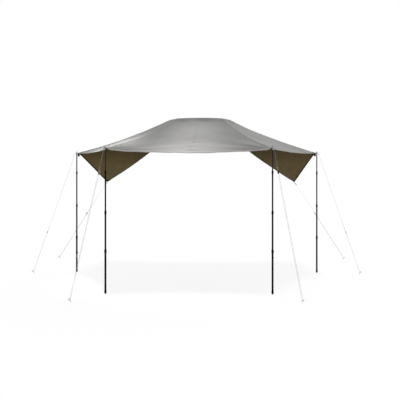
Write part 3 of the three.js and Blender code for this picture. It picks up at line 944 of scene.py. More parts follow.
def normals_of(surface, bay, across, along, step=2e-3):
    """Upward unit normals, from small steps that stay inside the bay."""
    a0, a1 = np.clip(across - step, 0, 1), np.clip(across + step, 0, 1)
    b0, b1 = np.clip(along - step, 0, 1), np.clip(along + step, 0, 1)
    over = surface(bay, a1, along) - surface(bay, a0, along)
    back = surface(bay, across, b1) - surface(bay, across, b0)
    return unit(np.cross(over, back))


HALF, HEM = np.array([0.5]), np.array([0.0])
print("middle of the front hem, bare:", base(np.array([2]), HALF, HEM).round(3).tolist())

# %% [markdown]
# ## Folds and slack
#
# A stiff CAD sheet leaves out what makes cloth look pitched: long folds that fan out from the
# pulled corners, and slack waves a few millimetres high between them. A displacement texture could
# add them, but folds belong to the corners that pull them, so they are sums of sines about
# each tip that swell to their tallest a little way in and die out beyond it.


# %% Folds and slack
def smooth_step(value, low, high):
    share = np.clip((value - low) / (high - low), 0, 1)
    return share * share * (3 - 2 * share)


def near_line(distance, width):
    """1 on a line or at a point, and fading to nothing within about two widths of it."""
    return np.exp(-(distance / width) ** 2)


def fan(point, tip, heading, folds, height, reach, phase):
    """Folds that spread out from a tip. They are tallest at reach and die out beyond it."""
    away = point - tip
    r = np.linalg.norm(away, axis=-1)
    angle = np.arctan2(away[..., 1], away[..., 0]) - heading
    angle = (angle + math.pi) % (2 * math.pi) - math.pi
    swell = (r / reach) * np.exp(1 - r / reach)
    wander = 0.35 * np.sin(r * 5.0 + phase)
    return height * swell * np.sin(folds * angle + phase + wander) * near_line(angle, 1.1)


FANS = (
    # left tip, right tip, degrees inwards on the left, folds, height, reach, phase
    (2, 3, 50, 13, 0.0075, 0.42, 0.4),
    (1, 4, 20, 12, 0.0045, 0.38, 1.3),
    (0, 5, -5, 10, 0.0040, 0.35, 2.2),
)


def fans(point):
    """The folds at all six tips. The right side's are mirrored but out of step."""
    height = 0
    for left, right, inwards, folds, tall, reach, phase in FANS:
        height = height + fan(point, FRONTS[left], math.radians(inwards), folds, tall, reach, phase)
        height = height + fan(point, FRONTS[right], math.radians(180 - inwards), folds, tall, reach,
                              phase + 3)
    return height


SLACK_HEIGHT = 0.0022


def slack(x, y):
    """Long shallow waves with no one direction."""
    waves = (np.sin(3.1 * x + 1.7 * y + 0.7) + np.sin(-2.3 * x + 4.6 * y + 2.1)
             + 0.7 * np.sin(6.1 * x - 3.9 * y + 4.0) + 0.5 * np.sin(9.7 * x + 7.3 * y + 1.1))
    return SLACK_HEIGHT * waves


print("folds at the near tips:", FANS[0][3], "up to", 1000 * FANS[0][4], "mm high")

# %% [markdown]
# ## Creases and gathers
#
# The front panel's middle seam puckers its cloth, cross creases run off it in a chevron, and at the
# arch the cloth is gathered into its sleeve. They could be painted as bumps, but they move the light
# on the whole panel, so they are part of the surface too. Everything dies out at the tips and at
# the arch, where the cloth is held.

# %% Creases and gathers
PUCKER_STEP, PUCKER_REACH, PUCKER_HEIGHT = 0.11, 0.035, 0.0011
CREASE_REACH, CREASE_HEIGHT = 0.21, 0.0048
GATHER_FROM, GATHER_DEPTH = 0.84, 0.024
TIP_HOLD = 0.14


def creases(x, back):
    """Puckers and cross creases about the middle seam, back metres behind the near poles."""
    waves = np.sin(2 * math.pi * back / PUCKER_STEP)
    puckers = PUCKER_HEIGHT * waves * near_line(x, PUCKER_REACH)
    chevron = np.sqrt(x * x + 0.03 ** 2)
    lines = np.sin(2 * math.pi * (back / 0.21 + 5.5 * chevron) + 0.6)
    lines = lines + 0.6 * np.sin(2 * math.pi * (back / 0.13 + 6.5 * chevron - 1.1 * x) + 2.0)
    patch = near_line(x, CREASE_REACH) * smooth_step(back, 0.05, 0.3) * (1 - smooth_step(back, 1.0, 1.7))
    return puckers + CREASE_HEIGHT * lines * patch


def gathers(x, across, along):
    """How deep the cloth dips where it is gathered before the arch."""
    dip = np.sin(np.clip((along - GATHER_FROM) / (1 - GATHER_FROM), 0, 1) * math.pi) ** 1.3
    scallop = 0.7 + 0.3 * np.sin(13.0 * x + 0.5)
    return GATHER_DEPTH * dip * scallop * smooth_step(bow(across), 0.0, 0.55)


def relief(bay, across, along, point):
    """How far the dressed cloth stands off the base."""
    x, y = point[..., 0], point[..., 1]
    height = slack(x, y) + fans(point)
    height = height + (bay == 2) * (creases(x, y - NEAR_Y) - gathers(x, across, along))
    for tip in FRONTS:
        height = height * (1 - near_line(np.linalg.norm(point - tip, axis=-1), TIP_HOLD))
    return height * (1 - smooth_step(along, 0.97, 1.0))


def cloth(bay, across, along):
    """The dressed surface: the base, moved along its own normal by the relief."""
    bay = np.broadcast_to(bay, np.shape(across))
    point = base(bay, across, along)
    normal = normals_of(base, bay, across, along)
    return point + normal * relief(bay, across, along, point)[..., None]


print("middle of the front hem, dressed:", cloth(np.array([2]), HALF, HEM).round(3).tolist())

# %% [markdown]
# ## The grid of the sheet
#
# The sheet is a fine grid over the five bays. Even squares would do for the panels, but the folds
# are tightest at the tips and the hems, so columns crowd towards the ribs and rows towards the
# hem.

# %% The grid
CLOTH_T = 0.0008
BAY_COLUMNS = (36, 56, 150, 56, 36)
ROWS = 120
RIB_CROWDING = 0.4
HEM_CROWDING = 0.3


def crowded(t, amount):
    """Steps from 0 to 1 that crowd towards both ends."""
    return t - amount * math.sin(2 * math.pi * t) / (2 * math.pi)


def bay_stations(counts, crowding=0.0):
    """The (bay, share across) of every column, with each shared rib once."""
    stations = []
    for bay, count in enumerate(counts):
        first = 0 if bay == 0 else 1
        stations += [(bay, crowded(i / count, crowding)) for i in range(first, count + 1)]
    return stations


columns = bay_stations(BAY_COLUMNS, RIB_CROWDING)
WIDE = len(columns)
bay_grid = np.array([[bay for bay, _ in columns]] * (ROWS + 1))
across_grid = np.array([[share for _, share in columns]] * (ROWS + 1))
rows = np.linspace(0, 1, ROWS + 1)
row_places = rows * (1 - HEM_CROWDING + HEM_CROWDING * rows)
along_grid = np.repeat(row_places[:, None], WIDE, axis=1)
middle_grid = cloth(bay_grid, across_grid, along_grid)
middle_points = middle_grid.reshape(-1, 3)
print("grid:", WIDE, "columns and", ROWS + 1, "rows")

# %% Squares, normals and area
quads = [(a, a + 1, a + WIDE + 1, a + WIDE)
         for row in range(ROWS) for a in range(row * WIDE, row * WIDE + WIDE - 1)]
vertex_normals = np.zeros_like(middle_points)
for a, b, c, d in quads:
    face_normal = np.cross(middle_points[c] - middle_points[a], middle_points[d] - middle_points[b])
    for i in (a, b, c, d):
        vertex_normals[i] += face_normal
vertex_normals = unit(vertex_normals)

# %% [markdown]
# ## The canopy sheet
#
# Coated cloth shows grey outside and olive inside. A single face with a two-sided material could
# show both, but a sheet with two faces less than a millimetre apart stays a solid one for other
# tools. Both faces split their squares along the same diagonals, so that neither shows through the
# other. Each panel was cut from flat cloth with its threads along its own hem, so each has its own
# flat UVs in metres.


# %% The canopy sheet
def panel_uv(bay, points):
    """Metres along the bay's hem and up its panel."""
    start, end = FRONTS[bay], FRONTS[bay + 1]
    hem = unit(end - start)
    rise = (ARCHES[bay] + ARCHES[bay + 1]) / 2 - (start + end) / 2
    rise = unit(rise - hem * np.dot(rise, hem))
    return np.stack([(points - start) @ hem, (points - start) @ rise], axis=-1)


count = len(middle_points)
sheet_points = np.concatenate([
    middle_points + vertex_normals * CLOTH_T / 2, middle_points - vertex_normals * CLOTH_T / 2])
faces, picks, uvs = [], [], []
for index, quad in enumerate(quads):
    bay = columns[index % (WIDE - 1) + 1][0]
    for half in ((0, 1, 2), (0, 2, 3)):
        corner_ids = [quad[i] for i in half]
        flat_uv = panel_uv(bay, middle_points[corner_ids])
        faces += [tuple(corner_ids), tuple(i + count for i in corner_ids[::-1])]
        picks += [0, 1]
        uvs += [*flat_uv, *flat_uv[::-1]]
first_rim = len(faces)
rim = ([i for i in range(WIDE - 1)] + [j * WIDE + WIDE - 1 for j in range(ROWS)]
       + [ROWS * WIDE + WIDE - 1 - i for i in range(WIDE - 1)]
       + [(ROWS - j) * WIDE for j in range(ROWS)])
for a, b in zip(rim, rim[1:] + rim[:1]):
    faces.append((a, a + count, b + count, b))
    picks.append(1)
    uvs += [(0, 0)] * 4
canopy = make_piece("canopy_cloth", sheet_points, faces, "root",
                    [cloth_outer, cloth_inner], uvs, picks, range(first_rim, len(faces)))
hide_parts("canopy")
print("canopy:", len(faces), "faces")

# %% [markdown]
# ## Hems
#
# Every free edge is folded over twice and sewn, which makes a band 22 mm wide on both faces. The
# fold could be part of the sheet's own mesh, but a band of its own takes its own stitches and tone.
# It follows the dressed surface from the edge inwards, so it keeps every fold. The hems of the
# drooping wings are dark.

# %% Measures on the cloth
PROBE = 1e-3
INWARDS = {"hem": (0, 1), "left": (1, 0), "right": (-1, 0), "arch": (0, -1)}


def metres_per_share(bays, across, along, over, up):
    """The metres of cloth in a whole share, from a small step over the bay or up it."""
    here = cloth(bays, across, along)
    there = cloth(bays, across + over * PROBE, along + up * PROBE)
    return np.linalg.norm(there - here, axis=-1) / PROBE


def inside_of(bays, across, along, edge, width):
    """The shares of a point that lies width metres inside an edge of its bay."""
    over, up = INWARDS[edge]
    shares = width / metres_per_share(bays, across, along, over, up)
    return across + over * shares, along + up * shares


edge_step, _ = inside_of(np.array([2]), HALF, HEM, "left", 0.022)
print("22 mm is", round(float(edge_step[0] - 0.5), 4), "of the front hem")

# %% Hem bands
HEM_WIDTH = 0.022
HEM_SECTION = [  # how far in, as a share of the width, and how far off the cloth
    (1.0, 0.0005), (0.94, 0.0014), (0.5, 0.0015), (0.07, 0.0015), (-0.03, 0.0009), (-0.05, 0.0),
    (-0.03, -0.0009), (0.07, -0.0015), (0.5, -0.0015), (0.94, -0.0014), (1.0, -0.0005)]


def edge_band(name, bay, edge, material, steps=60):
    """A closed band round a free edge of the cloth."""
    share = np.linspace(0, 1, steps + 1)
    if edge == "hem":
        across, along = share, np.zeros_like(share)
    else:
        across, along = np.full_like(share, 0.0 if edge == "left" else 1.0), share
    bays = np.full(share.shape, bay)
    outer = cloth(bays, across, along)
    within = inside_of(bays, across, along, edge, HEM_WIDTH)
    inner = cloth(bays, *within)
    normal_out, normal_in = normals_of(cloth, bays, across, along), normals_of(cloth, bays, *within)
    points = []
    for k in range(len(share)):
        for w, h in HEM_SECTION:
            normal = normal_out[k] + (normal_in[k] - normal_out[k]) * min(max(w, 0), 1)
            points.append(outer[k] + (inner[k] - outer[k]) * w + normal * h)
    around = [w * HEM_WIDTH for w, _ in HEM_SECTION + HEM_SECTION[:1]]
    return make_piece(name, points, capped_rings(len(share), len(HEM_SECTION)), "root",
                      [material], strip_uvs(around, run_of(outer)))


hems = [
    edge_band("front_hem", 2, "hem", hem_grey, steps=90),
    edge_band("left_side_hem", 1, "hem", hem_grey),
    edge_band("right_side_hem", 3, "hem", hem_grey),
    edge_band("left_wing_hem", 0, "hem", hem_dark),
    edge_band("right_wing_hem", 4, "hem", hem_dark),
    edge_band("left_rear_hem", 0, "left", hem_dark),
    edge_band("right_rear_hem", 4, "right", hem_dark),
]
print("hems:", [h.name for h in hems])

# %% [markdown]
# ## Bound edges
#
# The front and side hems are edged with a pale tape that hangs a little below them. A flat strip
# would do from afar, but a real tape is folded over the hem's edge and flares out below it, so its
# section wraps the edge and then drops. It falls less towards both corners, where it is pulled in.

# %% Bound edges
BINDING_SECTION = [  # metres inwards, metres off the cloth, and the share of the fall
    (0.0060, 0.0018, 0), (0.0010, 0.0022, 0), (-0.0008, 0.0016, 0.07), (-0.0011, 0, 0.3),
    (-0.0011, 0, 0.93), (-0.0003, 0, 1.0), (0.0006, 0, 0.93), (0.0006, 0, 0.32),
    (0.0016, -0.0019, 0.09), (0.0060, -0.0019, 0)]
BINDING_WIDTHS = [0, 0.005, 0.002, 0.003, 0.009, 0.001, 0.001, 0.009, 0.003, 0.005, 0.0037]
BINDING_ROWS_AT = 0.013  # where its stitches run, round the section
FALL_DOWN, FALL_OUT = np.array((0, 0, -0.87)), 0.5  # a fall of one metre goes this far


def binding(name, bay, material, drop=0.014, steps=90):
    """A pale tape bound round the edge of a hem, with its lower half flared out and down."""
    share = np.linspace(0.004, 0.996, steps + 1)
    bays, start = np.full(share.shape, bay), np.zeros_like(share)
    edge = cloth(bays, share, start)
    inner = cloth(bays, *inside_of(bays, share, start, "hem", 0.006))
    inward, normal = unit(inner - edge), normals_of(cloth, bays, share, start)
    run = run_of(edge)
    ends = np.minimum(run, run[-1] - run)
    fall = drop * (0.35 + 0.65 * smooth_step(ends, 0, 0.05)) * (1 + 0.07 * np.sin(run * 21 + bay))
    points = []
    for k in range(len(share)):
        for inside, lift, fallen in BINDING_SECTION:
            hang = (FALL_DOWN - inward[k] * FALL_OUT) * fall[k] * fallen
            points.append(edge[k] + inward[k] * inside + normal[k] * lift + hang)
    around = np.cumsum(BINDING_WIDTHS) - BINDING_ROWS_AT
    return make_piece(name, points, capped_rings(len(share), len(BINDING_SECTION)), "root",
                      [material], strip_uvs(around, run))


bindings = [
    binding("front_binding", 2, binding_rose, 0.024), binding("left_side_binding", 1, binding_sand),
    binding("right_side_binding", 3, binding_sand),
]
hems += bindings
print("bindings:", [b.name for b in bindings])

# %% [markdown]
# ## Seams
#
# Flat-felled seams join the panels along the ribs, and one more runs up the middle of the front
# panel. Outside, each is a low ridge with two rows of stitches. Inside, it is sealed with a smooth
# tape. A bump could draw both, but a ridge that stands up catches light at grazing angles, so each
# is a thin strip. It bends where the rows of the sheet do, so it lies close.

# %% Seams
SEAM_STARTS, SEAM_ENDS = 0.004, 0.985
SHOULDER = 0.6  # where the strip reaches its full height, as a share of its half width


def seam_strip(name, left, right, half_width, height, face, material):
    """A strip over a seam. left and right are the (bay, share across) on each side of it, and face
    is 1 outside or -1 inside."""
    inner_rows = row_places[(row_places > SEAM_STARTS + 0.002) & (row_places < SEAM_ENDS - 0.005)]
    along = np.concatenate([[SEAM_STARTS], inner_rows, [SEAM_ENDS]])
    stations = []
    for sign, (bay, share) in ((-1, left), (1, right)):
        bays, across = np.full(along.shape, bay), np.full(along.shape, float(share))
        span = metres_per_share(bays, across, along, sign, 0)
        for part in (1.0, SHOULDER):
            there = across + sign * part * half_width / span
            stations.append((sign * part, cloth(bays, there, along),
                             normals_of(cloth, bays, there, along)))
    bays, across = np.full(along.shape, left[0]), np.full(along.shape, float(left[1]))
    middle = cloth(bays, across, along)
    stations.append((0.0, middle, unit(stations[1][2] + stations[3][2])))
    stations.sort(key=lambda s: s[0])
    ridge = list(enumerate([0.0005, height, height * 1.15, height, 0.0005]))
    section = ridge + [(i, 0.0001) for i in range(4, -1, -1)]
    if face < 0:
        section = section[::-1]
    points = []
    for k in range(len(along)):
        for i, h in section:
            _, place, normal = stations[i]
            points.append(place[k] + normal[k] * h * face)
    around = [stations[i][0] * half_width for i, _ in section + section[:1]]
    return make_piece(name, points, capped_rings(len(along), len(section)), "root",
                      [material], strip_uvs(around, run_of(middle)))


SEAMS = {
    "left_ridge": ((0, 1), (1, 0)), "left_front": ((1, 1), (2, 0)), "middle": ((2, 0.5), (2, 0.5)),
    "right_front": ((2, 1), (3, 0)), "right_ridge": ((3, 1), (4, 0)),
}
for name, (left, right) in SEAMS.items():
    seam_strip(f"{name}_seam", left, right, half_width=0.008, height=0.0013, face=1,
                            material=seam_outer)
    seam_strip(f"{name}_seam_tape", left, right, half_width=0.011, height=0.0008, face=-1,
                            material=seam_inner)

# %% [markdown]
# ## Corner patches
#
# Each tip is reinforced with a three-cornered patch on both faces. The far corners and the wing
# tips have black ones, and the near corners grey ones. A patch could be a decal in the cloth's
# material, but it stands 2 mm proud and its edge shows, so it is a thin plate that takes the
# cloth's shape.

# %% Corner patches
PATCH_STEPS = 8
PATCH_LIFT = 0.0021


def patch_corner(bay, share, sign, size):
    """The upper points, lower points, and faces of one bay's part of a patch."""
    width = np.linalg.norm(FRONTS[bay + 1] - FRONTS[bay])
    length = np.linalg.norm(ARCHES[bay] - FRONTS[bay])
    grid = [(i, j) for j in range(PATCH_STEPS + 1) for i in range(PATCH_STEPS + 1 - j)]
    index = {place: n for n, place in enumerate(grid)}
    across = np.array([share + sign * size * i / PATCH_STEPS / width for i, _ in grid])
    along = np.array([size * j / PATCH_STEPS / length for _, j in grid])
    bays = np.full(across.shape, bay)
    place, normal = cloth(bays, across, along), normals_of(cloth, bays, across, along)
    top = []
    for j in range(PATCH_STEPS):
        for i in range(PATCH_STEPS - j):
            top.append((index[i, j], index[i + 1, j], index[i, j + 1]))
            if i + j < PATCH_STEPS - 1:
                top.append((index[i + 1, j], index[i + 1, j + 1], index[i, j + 1]))
    total = len(grid)
    faces = top + [tuple(total + n for n in face[::-1]) for face in top]
    rim = ([index[i, 0] for i in range(PATCH_STEPS)]
           + [index[PATCH_STEPS - i, i] for i in range(PATCH_STEPS)]
           + [index[0, PATCH_STEPS - i] for i in range(PATCH_STEPS)])
    faces += [(a, a + total, b + total, b) for a, b in zip(rim, rim[1:] + rim[:1])]
    return list(place + normal * PATCH_LIFT) + list(place - normal * PATCH_LIFT), faces


def tip_patch(name, parts, size, material):
    """A patch of one part for each (bay, share at the tip, direction across) in parts."""
    points, faces = [], []
    for part in parts:
        first = len(points)
        part_points, part_faces = patch_corner(*part, size)
        points += part_points
        faces += [tuple(first + n for n in face) for face in part_faces]
    flat_uvs = [(points[i][0], points[i][1]) for face in faces for i in face]
    return make_piece(name, points, faces, "root", [material], flat_uvs)


patches = [
    tip_patch("far_left_patch", [(0, 1, -1), (1, 0, 1)], 0.12, webbing_black),
    tip_patch("far_right_patch", [(3, 1, -1), (4, 0, 1)], 0.12, webbing_black),
    tip_patch("near_left_patch", [(1, 1, -1), (2, 0, 1)], 0.08, patch_grey),
    tip_patch("near_right_patch", [(2, 1, -1), (3, 0, 1)], 0.08, patch_grey),
    tip_patch("left_wing_patch", [(0, 0, 1)], 0.10, webbing_black),
    tip_patch("right_wing_patch", [(4, 1, -1)], 0.10, webbing_black),
]
print("patches:", [p.name for p in patches])

# %% [markdown]
# ## Webbing at the corners
#
# A loop of black webbing hangs from each far corner beside its pole, and a short flap of pale
# webbing hangs from each near one and covers the top of its pole. A cloth simulation could hang
# them, but webbing this short and stiff keeps its bend, so a strip follows a drawn one.

# %% Loops at the far corners
LOOP_WIDTH = 0.034
LOOP_HALF_THICK = 0.0009
LOOP_TURN = 0.0032
LOOP_DROP = 0.058
LOOP_RUN = 0.004  # webbing from one ring to the next
TAB_UNDER = POLE_TOP - 0.0028
BESIDE_POLE, CLEAR_OF_POLE = 0.0115, 0.017  # the loop's near edge at its top and from 14 mm down


def loop_bend():
    """The loop's middle line, down, round its end and up again."""
    down = [(-LOOP_TURN, -LOOP_DROP * i / 10) for i in range(10)]
    end = [(-LOOP_TURN * math.cos(math.pi * i / 8), -LOOP_DROP - LOOP_TURN * math.sin(math.pi * i / 8))
           for i in range(9)]
    return np.array(down + end + [(-y, z) for y, z in down[::-1]])


def corner_loop(name):
    """A loop of webbing that hangs from a far corner's tab, beside the pole."""
    corner = corners[name]
    middle = loop_bend()
    points = []
    for (y, z), (dy, dz) in zip(middle, unit(np.gradient(middle, axis=0))):
        near_pole = -BESIDE_POLE - (CLEAR_OF_POLE - BESIDE_POLE) * min(1, -z / 0.014)
        away = near_pole - LOOP_WIDTH
        for x, sign in ((near_pole, 1), (away, 1), (away, -1), (near_pole, -1)):
            raised = 0.2 * max(0, -TAB_IN - x) * (1 + z / LOOP_DROP)
            half = sign * LOOP_HALF_THICK
            points.append(corner.world(x, y - dz * half, TAB_UNDER + z + dy * half + raised))
    faces = capped_rings(len(middle), 4)
    uvs = [(LOOP_WIDTH * ((i % 4 in (1, 2)) - 0.5), LOOP_RUN * (i // 4)) for f in faces for i in f]
    return make_piece(f"{name}_loop", points, faces, "root", [webbing_black], uvs)


loops = [corner_loop(name) for name in ("far_left", "far_right")]
print("loops:", [item.name for item in loops])

# %% Flaps at the near corners
FLAP_HALF_WIDTH = 0.020
FLAP_DROP = 0.034
FLAP_THICK = 0.0012
FLAP_BOW = 0.0014
FLAP_RINGS = 10


def corner_flap(name):
    """A flap of pale webbing on the end of a near tab. It hangs down and covers the pole's top."""
    corner = corners[name]
    points = []
    for share in np.linspace(0, 1, FLAP_RINGS):
        inner = TAB_OUT + 0.0001 + FLAP_BOW * math.sin(math.pi * share)
        half = FLAP_HALF_WIDTH * (1 - 0.12 * share ** 4)
        z = POLE_TOP - 0.0016 - FLAP_DROP * share
        for x, y in ((0, -half), (FLAP_THICK, -half), (FLAP_THICK, half), (0, half)):
            points.append(corner.world(inner + x, y, z))
    faces = capped_rings(FLAP_RINGS, 4)
    uvs = [(FLAP_HALF_WIDTH * (1 if i % 4 in (2, 3) else -1), FLAP_DROP * (i // 4) / (FLAP_RINGS - 1))
           for f in faces for i in f]
    return make_piece(f"{name}_flap", points, faces, "root", [binding_sand], uvs)


flaps = [corner_flap(name) for name in ("near_left", "near_right")]
print("flaps:", [item.name for item in flaps])

# %% [markdown]
# ## The arched welt
#
# A cord is sewn into a sleeve along the rear arch, so that the edge can slide into a rail. Cord and
# sleeve could be two pieces, but the cord never shows, so one section lies on both faces of the
# cloth and closes round it.

# %% The arched welt
WELT_COLUMNS = (8, 8, 30, 8, 8)
WELT_R = 0.0040
WELT_BEHIND = 0.0052
SLEEVE_REACH = 0.018
SLEEVE_THICK = 0.0006
NECK_THICK = 0.0014
WELT_FROM, WELT_STEP, WELT_POINTS = 140, -28, 11  # degrees round the cord, and how many points


def welt():
    stations = bay_stations(WELT_COLUMNS)
    bays = np.array([bay for bay, _ in stations])
    across = np.array([share for _, share in stations])
    along = np.ones(len(stations))
    edge = cloth(bays, across, along)
    within = inside_of(bays, across, along, "arch", SLEEVE_REACH)
    inner, inner_normal = cloth(bays, *within), normals_of(cloth, bays, *within)
    back = np.array((0.0, 1.0, 0.0))
    rise = unit(np.cross(unit(np.gradient(edge, axis=0)), back))
    rise *= np.where((rise * inner_normal).sum(-1) < 0, -1, 1)[:, None]
    points = []
    for k in range(len(stations)):
        sleeve, neck = inner_normal[k] * SLEEVE_THICK, rise[k] * NECK_THICK
        centre = edge[k] + back * WELT_BEHIND
        points += [inner[k] + sleeve, edge[k] + neck]
        for i in range(WELT_POINTS):
            angle = math.radians(WELT_FROM + WELT_STEP * i)
            points.append(centre + WELT_R * (math.cos(angle) * back + math.sin(angle) * rise[k]))
        points += [edge[k] - neck, inner[k] - sleeve]
    faces = capped_rings(len(stations), WELT_POINTS + 4)
    flat_uvs = [(points[i][0], points[i][2]) for f in faces for i in f]
    piece = make_piece("arch_welt", points, faces, "root", [hem_olive], flat_uvs)
    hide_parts("arch_keder")
    return piece


arch = welt()
print("welt:", len(arch.data.polygons), "faces")

# %% [markdown]

# %% [markdown]
# ## Finishes of the CAD pieces
#
# The tubes, pegs, tensioners and tabs are right as they are and only need their finish. They could
# be replaced by copies, but giving the frame's own nodes a material keeps their places. The tabs of
# the near corners are pale, and the others black.

# %% Finishes
FINISHES = {
    "top_tube": tube_grey, "upper_tube": tube_black, "middle_tube": tube_black,
    "lower_tube": tube_black, "collar": plastic_black, "foot": rubber_black,
    "line_hook": plastic_black, "tensioner": plastic_black, "peg": zinc, "tab": webbing_black,
}
finished = 0
for name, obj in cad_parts.items():
    for ending, material in FINISHES.items():
        if name.endswith(ending):
            obj.data.materials.clear()
            obj.data.materials.append(material)
            finished += 1
for name in ("near_left_tab", "near_right_tab"):
    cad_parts[name].data.materials[0] = webbing_pale
print("nodes with a finish:", finished)

# %% [markdown]
# ## Poles
#
# Each pole is four telescopic tubes. Their radii are measured on the frame's tubes, and each joint
# lies where the wider tube ends, so that a collar's bore always fits both of its tubes.

# %% Poles
POLES = ("near_left", "far_left", "near_right", "far_right")


def radius_of(node):
    low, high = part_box(node)
    return (high.x - low.x) / 2


def pole_foot(pole):
    """The point on the ground under a pole's axis."""
    low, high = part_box(f"{pole}_foot")
    return ((low.x + high.x) / 2, (low.y + high.y) / 2, 0.0)


TUBE_R = {part: radius_of(f"near_left_{part}_tube") for part in ("top", "upper", "middle", "lower")}
# Each joint's height, and the radii of the wider and the thinner tube.
JOINTS = {"top": (1.800, TUBE_R["upper"], TUBE_R["top"]),
          "middle": (1.210, TUBE_R["middle"], TUBE_R["upper"]),
          "lower": (0.640, TUBE_R["lower"], TUBE_R["middle"])}
print("tube radii, mm:", {part: round(r * 1000, 2) for part, r in TUBE_R.items()})

# %% [markdown]
# ## Twist-lock collars
#
# A collar sits on each joint, with its skirt round the wider tube and its lip round the thinner
# one. Flutes give the hand a grip, and a groove marks the lip. The flutes could be cut with
# booleans, but a profile that dips as it goes round makes all sixteen in one closed mesh.

# %% Twist-lock collars
COLLAR_WALL = 0.003
SKIRT, LIP = 0.036, 0.012
FLUTES, FLUTE_DEPTH = 16, 0.0011
GROOVE = 0.0008


def fluted(outer, flutes_low, flutes_high):
    """Cuts shallow grip flutes into the outside of a collar between two heights."""
    def shape(radius, height, angle):
        if radius < outer - 0.0005 or not flutes_low < height < flutes_high:
            return radius
        return radius - FLUTE_DEPTH * (0.5 + 0.5 * math.cos(FLUTES * angle)) ** 2
    return shape


def collar_profile(joint, bore, inner, grip):
    """From the skirt's foot up the outside, over the lip and down the bores."""
    bottom, top = joint - SKIRT, joint + LIP
    return [(bore, bottom), (grip - 0.0015, bottom), (grip - 0.0004, bottom + 0.0008),
            (grip, bottom + 0.003), (grip, bottom + 0.006), (grip, bottom + 0.008),
            (grip, bottom + 0.018), (grip, top - 0.013), (grip, top - 0.011),
            (grip, top - 0.009), (grip - GROOVE, top - 0.0085), (grip - GROOVE, top - 0.0068),
            (grip, top - 0.0063), (grip, top - 0.002), (grip - 0.0006, top - 0.0006),
            (grip - 0.002, top), (inner, top), (inner, joint + GAP), (bore, joint + GAP)]


def add_collar(pole, where):
    joint, outer_r, inner_r = JOINTS[where]
    bore, inner = outer_r + GAP, inner_r + GAP
    grip = bore + COLLAR_WALL
    shape = fluted(grip, joint - SKIRT + 0.007, joint + LIP - 0.010)
    profile = collar_profile(joint, bore, inner, grip)
    points, faces = turned(profile, pole_foot(pole), 96, shape)
    body = f"{pole}_{where}_collar"
    piece = make_piece(f"{body}_grip", points, faces, body, [plastic_black])
    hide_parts(body)


print("flutes round a collar:", FLUTES)

# %% [markdown]
# ## Feet
#
# A rubber foot is pushed over each pole's end, with three ribs that keep it there and a tapered
# tip that grips the ground. It could be a plain cylinder at this distance, but the lip and the ribs
# are what make it read as rubber near by. So it is turned, like the collars.

# %% Feet
FOOT_WALL = 0.0026
FOOT_HEIGHT = 0.046
FOOT_FLOOR = 0.012
AXIS = 0.0001  # a turned solid starts and ends this near its axis
FOOT_TIP = [
    (AXIS, 0.0), (0.0110, 0.0), (0.0120, 0.0012), (0.0136, 0.008), (0.0131, 0.0086),
    (0.0133, 0.0100), (0.0146, 0.0145), (0.0141, 0.0152), (0.0144, 0.0166)]


def add_foot(pole):
    bore = TUBE_R["lower"] + GAP
    wall = bore + FOOT_WALL
    ribs = [(wall - 0.0006, 0.0215), (wall, 0.0235)]
    for groove in (0.0306, 0.0391):
        ribs += [(wall, groove - 0.0006), (wall - 0.0007, groove), (wall - 0.0007, groove + 0.0014),
                 (wall, groove + 0.0020)]
    rim = [(wall, 0.0452), (wall - 0.0006, FOOT_HEIGHT), (bore, FOOT_HEIGHT), (bore, FOOT_FLOOR),
           (AXIS, FOOT_FLOOR)]
    points, faces = capped(FOOT_TIP + ribs + rim, pole_foot(pole), 40)
    piece = make_piece(f"{pole}_foot_cap", points, faces, f"{pole}_lower_section",
                       [rubber_black])
    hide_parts(f"{pole}_foot")


print("feet are", round(2000 * (TUBE_R["lower"] + GAP + FOOT_WALL), 1), "mm across")

# %% [markdown]
# ## Spikes and eyelets
#
# A spike on each pole's top goes through an eyelet in the corner tab, and the line's eye drops over
# it. Both are bright zinc. The spike belongs to the CAD tube, so a thin sleeve over it carries the
# brighter finish, and the eyelet is a rolled ring on the tab.

# %% Spikes, eyelets and all pole pieces
SPIKE_R = 0.0046
EYELET_TOP = POLE_TOP + 0.00025
SPIKE_FOOT = POLE_TOP - 0.0030
SPIKE_TIP = POLE_TOP + 0.0341
SPIKE = [(AXIS, SPIKE_FOOT), (SPIKE_R, SPIKE_FOOT), (SPIKE_R, SPIKE_TIP - 0.0066),
         (0.0042, SPIKE_TIP - 0.0041), (0.0030, SPIKE_TIP - 0.0013), (0.0022, SPIKE_TIP),
         (AXIS, SPIKE_TIP)]
EYELET = [(0.0053, POLE_TOP), (0.0098, POLE_TOP), (0.0095, EYELET_TOP), (0.0056, EYELET_TOP)]


def add_spike(pole):
    points, faces = capped(SPIKE, pole_foot(pole), 24)
    make_piece(f"{pole}_spike", points, faces, "root", [zinc_bright])
    points, faces = turned(EYELET, pole_foot(pole), 32)
    make_piece(f"{pole}_eyelet", points, faces, "root", [zinc])


for pole in POLES:
    for where in JOINTS:
        add_collar(pole, where)
    add_foot(pole)
    add_spike(pole)

# %% [markdown]
# ## The plain band and the spare line
#
# The far left pole carries a plain pale band just below its line hook. The band could be painted on
# the tube's material, but a thin sleeve can ride on the same section and be left off. The near
# left tensioner holds a little spare line, wound into a small hank of flat turns that grow outwards.

# %% The plain band
BAND_LOW, BAND_HIGH = 0.262, 0.318
bare, taped = TUBE_R["lower"] + 0.00005, TUBE_R["lower"] + 0.0004
band = [(bare, BAND_LOW), (taped, BAND_LOW + 0.0005), (taped, BAND_HIGH - 0.0005), (bare, BAND_HIGH)]
points, faces = turned(band, pole_foot("far_left"), 40)
make_piece("far_left_pole_band", points, faces, "far_left_lower_section", [band_grey])
print("band", round(1000 * (BAND_HIGH - BAND_LOW)), "mm high")

